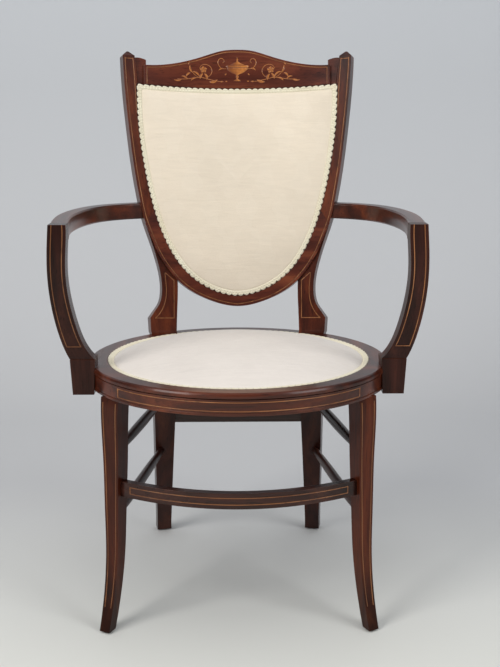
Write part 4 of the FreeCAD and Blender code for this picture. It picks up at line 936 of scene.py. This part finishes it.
# %% Braid surface
GIMP_PITCH = 0.0110
GIMP_STEPS = 14
GIMP_ACROSS = 15
GIMP_RISE = 0.0014
GIMP_BASE = 0.0010
GIMP_LOOP = 0.30
CORD_MIDDLE, CORD_SWING, CORD_WIDTH = 0.46, 0.26, 0.13
TWIST_HEIGHT, TWISTS, TWIST_SLANT = 0.10, 5, 3
EDGE_POWER = 8
LIP_POWER = 0.7
LOOP_POWER = 0.7


def braid_height(s, v, lip):
    """Height over the tape: two cords whose middles swing either side of the centre line
    in opposite phase, each a bell across, the higher of the two counting. The outer edge
    stands up by the lip, so that its loops lie over the wood."""
    swing = CORD_SWING * np.sin(2 * np.pi * s)
    cords = np.maximum(np.exp(-((v - CORD_MIDDLE - swing) / CORD_WIDTH) ** 2),
                       np.exp(-((v - CORD_MIDDLE + swing) / CORD_WIDTH) ** 2))
    rope = TWIST_HEIGHT * np.sin(2 * np.pi * (s * TWISTS + v * TWIST_SLANT))
    edge = np.clip(1 - np.abs(2 * v - 1) ** EDGE_POWER, 0, 1)
    return np.maximum((GIMP_BASE + GIMP_RISE * (cords + rope)) * edge, lip * (1 - v) ** LIP_POWER)


def braid(name, outer, inner, lift, lip):
    """Closed braid between two outlines with the same number of points. lift turns a flat
    point and a height into a place in space, and lip is the height of the outer edge."""
    outer_run = np.vstack([outer, outer[:1]])
    total = np.linalg.norm(np.diff(outer_run, axis=0), axis=1).sum()
    pitches = int(round(total / GIMP_PITCH))
    count = pitches * GIMP_STEPS
    outer = even_steps(outer_run, count + 1)[:-1]
    inner = even_steps(np.vstack([inner, inner[:1]]), count + 1)[:-1]
    s = np.arange(count)[:, None] / GIMP_STEPS
    v = np.linspace(0.0, 1.0, GIMP_ACROSS)[None]
    loops = np.abs(np.sin(np.pi * s)) ** LOOP_POWER
    reach = v + (1 - v) ** 3 * GIMP_LOOP * (1 - loops)
    flat = outer[:, None] * (1 - reach)[..., None] + inner[:, None] * reach[..., None]
    upper = lift(flat[..., 0], flat[..., 1], braid_height(s, v, lip))
    lower = lift(flat[..., 0], flat[..., 1], np.zeros(flat.shape[:2]))
    points = np.concatenate([upper, lower[:, ::-1][:, 1:]], axis=1)
    piece = make_piece(name, points, grid_faces(count, points.shape[1], True, True))
    turn_outwards(piece)
    print(name, pitches, "loops,", len(piece.data.polygons), "faces")
    return piece


REAR_COVER_DEPTH = 0.0202
SEAT_LIP = 0.0027
BACK_LIP = 0.0008
GIMP_OUTER = 0.0004
GIMP_INNER = 0.0105
REAR_GIMP_INSET = 0.004
OVAL_POINTS = 900
GIMP_SIDE_POINTS, GIMP_TOP_POINTS = 500, 300


def lift_seat(x, y, height):
    """Place on the seat, at a height above the tacked edge of the cover."""
    return np.stack([x, y, SEAT_FLOOR + height], axis=-1)


def lift_back(x, w, height):
    """Place on the front of the back, standing forward of the tacked edge."""
    return on_back(x, w, PAD_REAR - height)


def lift_rear(x, w, height):
    """Place on the rear of the back, standing back from the outside cover."""
    return on_back(x, w, REAR_COVER_DEPTH + height)


def shield_braid(name, inset, lift):
    """Braid round the shield, between two outlines whose points pair up."""
    outer, inner = [shield_loop(edge + inset, GIMP_SIDE_POINTS, GIMP_TOP_POINTS)
                    for edge in (GIMP_OUTER, GIMP_INNER)]
    return braid(name, outer, inner, lift, BACK_LIP)


seat_braid = braid("seat_braid", oval_loop(GIMP_OUTER, OVAL_POINTS),
                   oval_loop(GIMP_INNER, OVAL_POINTS), lift_seat, SEAT_LIP)
back_braid = shield_braid("back_braid", 0.0, lift_back)
rear_braid = shield_braid("rear_braid", REAR_GIMP_INSET, lift_rear)

# %% [markdown]
# Gimp yarn is matt and slightly soiled, so two creams are mixed by a slow noise, and a very
# fine noise as relief stands for the fuzz.

# %% Gimp finish
YARN_SOILED, YARN_CLEAN = (0.63, 0.56, 0.40, 1), (0.80, 0.76, 0.62, 1)
YARN_ROUGHNESS = 0.85
YARN_SHEEN = 0.2
material, nodes, links, shader = new_material("cream_gimp")
place = add_node(nodes, "ShaderNodeTexCoord")
fuzz = add_node(nodes, "ShaderNodeTexNoise", Scale=1400.0, Detail=2.0)
links.new(place.outputs["Object"], fuzz.inputs["Vector"])
soil = add_node(nodes, "ShaderNodeTexNoise", Scale=22.0, Detail=4.0)
links.new(place.outputs["Object"], soil.inputs["Vector"])
yarn = add_node(nodes, "ShaderNodeMix", data_type="RGBA")
yarn.inputs[6].default_value = YARN_SOILED
yarn.inputs[7].default_value = YARN_CLEAN
links.new(soil.outputs["Fac"], yarn.inputs[0])
links.new(yarn.outputs[2], shader.inputs["Base Color"])
fuzz_bump = add_node(nodes, "ShaderNodeBump", Strength=0.35, Distance=0.0003)
links.new(fuzz.outputs["Fac"], fuzz_bump.inputs["Height"])
links.new(fuzz_bump.outputs[0], shader.inputs["Normal"])
shader.inputs["Roughness"].default_value = YARN_ROUGHNESS
shader.inputs["Sheen Weight"].default_value = YARN_SHEEN
cream_gimp = material
for piece, node in ((seat_braid, "seat_gimp"), (back_braid, "back_gimp"),
                    (rear_braid, "outside_back_gimp")):
    piece.data.materials.append(cream_gimp)
    settle(piece, "braid", node)
    print(piece.name, "stands for", node)

# %% [markdown]
# ## Outside back
# Behind the pad a thin cover closes the back. It is stretched over an opening and bows a
# little. The same rings as a pad's make it, with two layers a sheet's thickness apart. Its
# cut size is that of the drawn outline, laid flat.

# %% Outside back cover
OUTSIDE_INSET = 0.0045
OUTSIDE_BULGE = 0.0016
OUTSIDE_DEPTH = 0.0194
SHEET_THICK = 0.0006
outside_back = closed_pad(
    "outside_back", back_rings(OUTSIDE_INSET, 0.0, OUTSIDE_BULGE, OUTSIDE_DEPTH + SHEET_THICK, 1.0),
    back_rings(OUTSIDE_INSET, 0.0, OUTSIDE_BULGE, OUTSIDE_DEPTH, 1.0))
turn_outwards(outside_back)
outside_back.data.materials.append(back_damask)
settle(outside_back, "back_fabric", "outside_back_cover")


def flat_cut(loop):
    """Width, length and area of the flat piece that an outline encloses."""
    x, y = loop[:, 0], loop[:, 1]
    area = abs(np.dot(x, np.roll(y, -1)) - np.dot(y, np.roll(x, -1))) / 2
    return (float(np.ptp(x)), float(np.ptp(y))), float(area)


back_cut, back_area = flat_cut(shield_loop(OUTSIDE_INSET, BACK_SIDE_POINTS, BACK_TOP_POINTS))
print("outside back cut", [round(v, 3) for v in back_cut], "area", round(back_area, 4))

# %% [markdown]
# ## Dust cloth
# Under the seat a black-brown cloth keeps the dust in. It is tacked round the rails and
# sags in the middle, so it is the seat's oval with a small crown that points down.

# %% Dust cloth
DUST_TRIM = 0.004
DUST_SAG = 0.004
dust_low, dust_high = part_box("seat_dust_cloth")
angle = np.linspace(0, 2 * np.pi, SEAT_POINTS, endpoint=False)
dust_loop = np.stack([((dust_high.x - dust_low.x) / 2 - DUST_TRIM) * np.cos(angle),
                      SEAT_Y + ((dust_high.y - dust_low.y) / 2 - DUST_TRIM) * np.sin(angle)], axis=1)
dust_cloth = closed_pad("dust_cloth", seat_rings(dust_loop, 0.0, -DUST_SAG, dust_high.z),
                        seat_rings(dust_loop, 0.0, -DUST_SAG, dust_high.z - SHEET_THICK))
turn_outwards(dust_cloth)

# %% [markdown]
# ## Turned side stretchers
# Each side has two slim rods between the legs, turned on a lathe so that they swell in
# the middle. The CAD rods have twelve flat sides. Here each becomes a round surface: a
# radius along the axis, smoothed through a few sizes, swept once round.

# %% Side stretchers
STRETCHER_SIZES = np.array([(0.0, 5.2), (0.12, 6.4), (0.30, 8.0), (0.50, 8.5), (0.70, 7.9),
                            (0.90, 6.3), (1.0, 5.2)])
STRETCHER_END = 0.0052
PERCENT = 100.0
MILLIMETRES = 1000.0
SIZE_STEPS = 400
JOIN_DISTANCE = 1e-5


def turned_rod(name, start, end, rows=40, sides=24):
    """Round rod between two points: ring centres run along the axis, and the radius
    follows a smooth curve through the given sizes. Both ends close in a point."""
    start, end = np.array(start, float), np.array(end, float)
    axis = (end - start) / np.linalg.norm(end - start)
    aside = np.cross(axis, [0.0, 0.0, 1.0])
    aside /= np.linalg.norm(aside)
    upward = np.cross(aside, axis)
    sizes = smooth_through(STRETCHER_SIZES * [PERCENT, 1.0], SIZE_STEPS)
    t = np.linspace(0.0, 1.0, rows)
    radius = np.interp(t * PERCENT, sizes[:, 0], sizes[:, 1]) / MILLIMETRES
    angle = np.linspace(0, 2 * np.pi, sides, endpoint=False)
    ring = np.cos(angle)[:, None] * aside + np.sin(angle)[:, None] * upward
    centre = start + (end - start) * t[:, None]
    body = centre[:, None] + ring[None] * radius[:, None, None]
    tips = np.stack([np.repeat(start[None], sides, 0), np.repeat(end[None], sides, 0)])
    points = np.concatenate([tips[:1], body, tips[1:]])
    rod = make_piece(name, points, grid_faces(len(points), sides, closed_columns=True))
    turn_outwards(rod, JOIN_DISTANCE)
    # the rods' darker mahogany is partly painted shade
    rod.data.materials.append(mahogany_dull)
    return rod


for node in [n for n in cad_nodes if "side_stretcher" in n]:
    low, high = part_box(node)
    level = (low.z + high.z) / 2
    side = 1 if high.x > 0 else -1
    outer_x = max(abs(low.x), abs(high.x)) - STRETCHER_END
    inner_x = min(abs(low.x), abs(high.x)) + STRETCHER_END
    rod = turned_rod("turned_" + node, (side * outer_x, low.y, level),
                     (side * inner_x, high.y, level))
    settle(rod, "polished_wood", node)
    print(rod.name, len(rod.data.polygons), "faces")

# %% [markdown]
# ## Glides
# A domed metal glide under each foot keeps the leg off the floor. It is a disc with a
# rounded edge, so its profile is turned about an upright axis, once for each foot.

# %% Glides
GLIDE_REACH = 0.008
GLIDE_PROFILE = np.array([(0.0, 0.0), (0.0045, 0.0), (0.0064, 0.0004), (0.0076, 0.0012),
                          (0.0081, 0.0022), (0.0081, 0.0030), (0.0074, 0.0034), (0.0, 0.0034)])


def lathe(profile, centres, sides=28):
    """Profile of (radius, height) turned about an upright axis, once at each centre."""
    angle = np.linspace(0, 2 * np.pi, sides, endpoint=False)
    circle = np.stack([np.cos(angle), np.sin(angle)], axis=1)
    ring = circle[None] * profile[:, None, :1]
    height = np.repeat(profile[:, 1][:, None], sides, 1)
    one = np.concatenate([ring, height[..., None]], axis=-1).reshape(-1, 3)
    faces = grid_faces(len(profile), sides, closed_columns=True)
    points = np.concatenate([one + np.array(centre) for centre in centres])
    quads = np.concatenate([faces + number * len(one) for number in range(len(centres))])
    return points, quads


glide_low, glide_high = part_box("foot_glides")
FRONT_FOOT_X = glide_high.x - GLIDE_REACH
FRONT_FOOT_Y = glide_low.y + GLIDE_REACH
REAR_FOOT_X = 0.150
REAR_FOOT_Y = glide_high.y - GLIDE_REACH
feet = [(sx * x, y, 0.0) for x, y in ((FRONT_FOOT_X, FRONT_FOOT_Y), (REAR_FOOT_X, REAR_FOOT_Y))
        for sx in (-1, 1)]
glides = make_piece("glides", *lathe(GLIDE_PROFILE, feet))
turn_outwards(glides, JOIN_DISTANCE)
print("glides", len(glides.data.polygons), "faces")

# %% [markdown]
# ## Iron
# Old iron is dark, brown in places and unevenly dull. One noise mixes two tones and sets
# how rough each place is. The hidden screws of the arm supports share it.

# %% Metals
IRON_DARK, IRON_RUSTY = (0.018, 0.015, 0.013, 1), (0.05, 0.038, 0.03, 1)
IRON_METALLIC = 0.6
material, nodes, links, shader = new_material("dark_iron")
place = add_node(nodes, "ShaderNodeTexCoord")
rust = add_node(nodes, "ShaderNodeTexNoise", Scale=300.0, Detail=4.0)
links.new(place.outputs["Object"], rust.inputs["Vector"])
iron = add_node(nodes, "ShaderNodeMix", data_type="RGBA")
iron.inputs[6].default_value = IRON_DARK
iron.inputs[7].default_value = IRON_RUSTY
links.new(rust.outputs["Fac"], iron.inputs[0])
links.new(iron.outputs[2], shader.inputs["Base Color"])
scuff = add_node(nodes, "ShaderNodeMapRange", **{"To Min": 0.3, "To Max": 0.6})
links.new(rust.outputs["Fac"], scuff.inputs["Value"])
links.new(scuff.outputs[0], shader.inputs["Roughness"])
shader.inputs["Metallic"].default_value = IRON_METALLIC
dark_iron = material
glides.data.materials.append(dark_iron)
settle(glides, "glide", "foot_glides")
finish_node("support_screws", dark_iron)
print("iron nodes", len(nodes))

# %% [markdown]
# ## Inlaid urn and sprays
# The crest carries a small urn between two leafy sprays, cut from veneer and let in
# flush. Every leaf is a lens: its middle line is a short arc and its width swells and
# closes again. The shapes lie on the curved face and stand a hair proud of it.

# %% Leaf and lens shapes
INLAY_PROUD = 0.00025
INLAY_SUNK = 0.0003
VENEER_JOIN = 2e-6
veneer_points, veneer_faces, veneer_uv = [], [], []


def add_veneer(x, w):
    """Add a grid of flat places to the inlay: an upper face with its rim let in, closed
    by a lower face. Rows run along the shape and columns across it."""
    rows, columns = x.shape
    v = np.linspace(-1, 1, columns)[None]
    u = np.linspace(-1, 1, rows)[:, None]
    upper = on_back(x, w, np.full(x.shape, -INLAY_PROUD))
    lower = on_back(x, w, np.full(x.shape, INLAY_SUNK))
    base = sum(len(p) for p in veneer_points)
    faces = grid_faces(rows, columns)
    number = np.arange(rows * columns).reshape(rows, columns)
    rim = np.concatenate([number[0], number[1:, -1], number[-1, -2::-1], number[-2:0:-1, 0]])
    after, below = np.roll(rim, -1), rows * columns
    walls = np.stack([rim, after, after + below, rim + below], axis=1)
    veneer_points.extend([upper.reshape(-1, 3), lower.reshape(-1, 3)])
    veneer_faces.extend([faces[:, ::-1] + base, faces + base + below, walls + base])
    grid = np.stack(np.broadcast_arrays(u * 0.5 + 0.5, v * 0.5 + 0.5), axis=-1).reshape(-1, 2)
    veneer_uv.extend([grid, grid])


def lens(start, end, width, bow=0.0, tip=0.8, rows=11, columns=5):
    """Leaf between two points: a middle line bowed sideways by a share of its length,
    and a width that follows a sine to a power."""
    start, end = np.array(start, float), np.array(end, float)
    run = end - start
    side = np.array([-run[1], run[0]])
    t = np.linspace(0, 1, rows)[:, None]
    middle = start + run * t + side * bow * 4 * t * (1 - t)
    ahead = run + side * bow * 4 * (1 - 2 * t)
    normal = np.stack([-ahead[:, 1], ahead[:, 0]], axis=1) / np.linalg.norm(ahead, axis=1)[:, None]
    half = width / 2 * np.sin(np.pi * np.clip(t, 0.02, 0.98)) ** tip
    v = np.linspace(-1, 1, columns)[None]
    x = middle[:, :1] + normal[:, :1] * half * v
    w = middle[:, 1:] + normal[:, 1:] * half * v
    add_veneer(x / MILLIMETRES, w / MILLIMETRES)


def ribbon(points, width, count=24):
    """Thin line of veneer through points, narrowing a little at both ends."""
    line = smooth_through(points, count)
    ahead = np.gradient(line, axis=0)
    normal = np.stack([-ahead[:, 1], ahead[:, 0]], axis=1) / np.linalg.norm(ahead, axis=1)[:, None]
    t = np.linspace(0, 1, count)[:, None]
    half = width / 2 * (0.55 + 0.45 * np.sin(np.pi * t))
    v = np.linspace(-1, 1, 3)[None]
    add_veneer((line[:, :1] + normal[:, :1] * half * v) / MILLIMETRES,
               (line[:, 1:] + normal[:, 1:] * half * v) / MILLIMETRES)


def turned_outline(profile, rows, columns=9):
    """Flat picture of a turned shape: heights and half widths, smoothed, filled across."""
    line = smooth_through(profile, rows)
    v = np.linspace(-1, 1, columns)[None]
    add_veneer(line[:, 1:] * v / MILLIMETRES, np.repeat(line[:, :1], columns, 1) / MILLIMETRES)


print("inlay stands", INLAY_PROUD * MILLIMETRES, "mm proud")


# %% [markdown]
# ## Urn
# The urn is drawn as a turned shape seen flat: finial, lid and body are each a list of
# heights and half widths in millimetres. Its handles are thin ribbons, with a leaf below.

# %% Urn
FINIAL = [(500.5, 0.3), (497.5, 0.9), (495.5, 1.9), (493.5, 1.2), (491.5, 3.2), (489.0, 7.0),
          (486.6, 13.6)]
LID = [(485.4, 19.5), (484.0, 21.4), (482.0, 21.2)]
BODY = [(481.3, 20.6), (478.0, 18.6), (474.0, 13.8), (470.6, 7.4), (468.6, 2.9), (466.6, 1.9),
        (464.4, 3.0), (462.2, 1.8), (460.0, 2.4), (458.4, 5.6), (457.0, 6.4)]
HANDLE = [(20.0, 479.5), (27.5, 480.0), (33.2, 485.5), (34.6, 492.5), (30.5, 497.6), (25.2, 496.4),
          (23.8, 491.8), (26.8, 490.0)]
HANDLE_WIDTH = 1.5
URN_LEAVES = [((23.0, 479.0), (34.0, 476.0), 2.6, 0.2, 0.8),
              ((19.6, 470.6), (22.4, 467.8), 2.6, 0.0, 0.5)]
for profile, rows in ((FINIAL, 26), (LID, 8), (BODY, 34)):
    turned_outline(profile, rows)
for side in (-1, 1):
    ribbon([(side * x, w) for x, w in HANDLE], HANDLE_WIDTH, 34)
    for (root_x, root_w), (end_x, end_w), width, bow, tip in URN_LEAVES:
        lens((side * root_x, root_w), (side * end_x, end_w), width, bow=side * bow, tip=tip)
print("urn pieces", len(veneer_points) // 2)

# %% [markdown]
# ## Sprays
# Each spray has a long stem, a curl that ends in a five-petalled flower, and leaves. A leaf
# is given by its two ends, its width, its bow and how blunt its tips are.

# %% Sprays
STEMS = [([(24.0, 456.0), (33.0, 456.4), (42.0, 458.0), (54.0, 460.5), (66.0, 463.2), (79.0, 461.8),
           (92.0, 459.6), (108.0, 459.4)], 1.3, 40),
         ([(57.0, 462.0), (49.0, 467.0), (45.6, 474.5), (48.6, 482.6), (56.0, 486.6),
           (64.2, 485.2), (68.8, 479.2)], 1.3, 34),
         ([(70.0, 463.0), (77.0, 468.0), (82.6, 475.4), (86.0, 483.4)], 1.2, 20)]
FLOWER_X, FLOWER_W = 61.2, 477.2
PETALS = 5
PETAL_ROOT, PETAL_REACH_X, PETAL_REACH_W, PETAL_WIDTH = 1.0, 6.6, 5.9, 5.4
LEAVES = [((59.4, 477.2), (63.0, 477.2), 3.2, 0.0, 0.4), ((36.0, 459.6), (50.4, 455.4), 5.2, -0.12, 0.8),
          ((25.6, 456.4), (30.4, 456.0), 2.6, 0.0, 0.5), ((18.0, 456.8), (21.6, 456.4), 2.2, 0.0, 0.5),
          ((62.0, 470.4), (67.4, 460.4), 4.6, 0.15, 0.8), ((60.0, 470.0), (55.4, 458.6), 4.6, -0.18, 0.8),
          ((68.0, 464.0), (80.8, 473.6), 3.6, 0.16, 0.8), ((79.4, 470.6), (85.4, 485.4), 3.8, -0.14, 0.8),
          ((84.6, 471.0), (92.4, 464.0), 3.6, 0.18, 0.8), ((90.0, 459.8), (101.0, 464.6), 3.2, 0.15, 0.8),
          ((100.0, 459.6), (114.0, 457.6), 3.0, -0.12, 0.8), ((73.0, 462.4), (84.0, 457.0), 3.4, 0.16, 0.8),
          ((88.6, 486.0), (86.0, 491.0), 2.6, 0.0, 0.6)]
for side in (-1, 1):
    def at(x, w, side=side):
        """Mirror a place of the spray to this side."""
        return (side * x, w)

    for stem, width, count in STEMS:
        ribbon([at(*place) for place in stem], width, count)
    for petal in range(PETALS):
        turn = math.radians(90 + 360 // PETALS * petal)
        across, up = math.cos(turn), math.sin(turn)
        lens(at(FLOWER_X + PETAL_ROOT * across, FLOWER_W + PETAL_ROOT * up),
             at(FLOWER_X + PETAL_REACH_X * across, FLOWER_W + PETAL_REACH_W * up),
             PETAL_WIDTH, tip=0.55)
    for root, tip_end, width, bow, tip in LEAVES:
        lens(at(*root), at(*tip_end), width, bow=side * bow, tip=tip)

marquetry = make_piece("crest_marquetry", np.concatenate(veneer_points),
                       np.concatenate(veneer_faces))
uv_layer = marquetry.data.uv_layers.new(name="veneer")
corner = np.empty(len(marquetry.data.loops), int)
marquetry.data.loops.foreach_get("vertex_index", corner)
uv_layer.data.foreach_set("uv", np.concatenate(veneer_uv)[corner].ravel())
turn_outwards(marquetry, VENEER_JOIN)
print("inlay shapes", len(veneer_points) // 2, "faces", len(marquetry.data.polygons))

# %% [markdown]
# Each piece of veneer was dipped in hot sand along one edge, which scorches it to a soft
# shadow. The UV map runs along and across every shape, so one ramp across it gives them all
# that shadow, and a fine noise breaks it up.

# %% Sand-shaded veneer
SCORCH_WIDTH = 0.75
SCORCH_GAIN = 1.9
VENEER_DARK, VENEER_LIGHT = (0.15, 0.034, 0.008, 1), (0.44, 0.155, 0.030, 1)
VENEER_ROUGHNESS = 0.3
VENEER_COAT, VENEER_COAT_ROUGHNESS = 0.5, 0.16
material, nodes, links, shader = new_material("sand_shaded_veneer")
uv = add_node(nodes, "ShaderNodeUVMap", uv_map="veneer")
parts = add_node(nodes, "ShaderNodeSeparateXYZ")
links.new(uv.outputs[0], parts.inputs[0])
scorch = add_node(nodes, "ShaderNodeMapRange", **{"From Min": 0.0, "From Max": SCORCH_WIDTH})
links.new(parts.outputs["Y"], scorch.inputs["Value"])
place = add_node(nodes, "ShaderNodeTexCoord")
fine = add_node(nodes, "ShaderNodeTexNoise", Scale=260.0, Detail=3.0)
links.new(place.outputs["Object"], fine.inputs["Vector"])
amount = add_node(nodes, "ShaderNodeMath", operation="MULTIPLY")
links.new(scorch.outputs[0], amount.inputs[0])
links.new(fine.outputs["Fac"], amount.inputs[1])
double = add_node(nodes, "ShaderNodeMath", operation="MULTIPLY", use_clamp=True)
double.inputs[1].default_value = SCORCH_GAIN
links.new(amount.outputs[0], double.inputs[0])
veneer = add_node(nodes, "ShaderNodeMix", data_type="RGBA")
veneer.inputs[6].default_value = VENEER_DARK
veneer.inputs[7].default_value = VENEER_LIGHT
links.new(double.outputs[0], veneer.inputs[0])
links.new(veneer.outputs[2], shader.inputs["Base Color"])
shader.inputs["Roughness"].default_value = VENEER_ROUGHNESS
shader.inputs["Coat Weight"].default_value = VENEER_COAT
shader.inputs["Coat Roughness"].default_value = VENEER_COAT_ROUGHNESS
marquetry.data.materials.append(material)
settle(marquetry, "inlay")
print("veneer nodes", len(nodes))

# %% [markdown]
# ## Finish of the dust cloth
# It is a coarse dark canvas: the covers' weave again, with fewer threads and less sheen.

# %% Dust cloth finish
CANVAS_GROUND, CANVAS_FIGURE = (0.035, 0.028, 0.024, 1), (0.045, 0.036, 0.03, 1)
under_cloth = cloth_finish("dust_cloth", CANVAS_GROUND, CANVAS_FIGURE, LEVEL_PLANE,
                           threads=500.0, sheen=0.1)
dust_cloth.data.materials.append(under_cloth)
settle(dust_cloth, "canvas", "seat_dust_cloth")
print("dust cloth dressed")
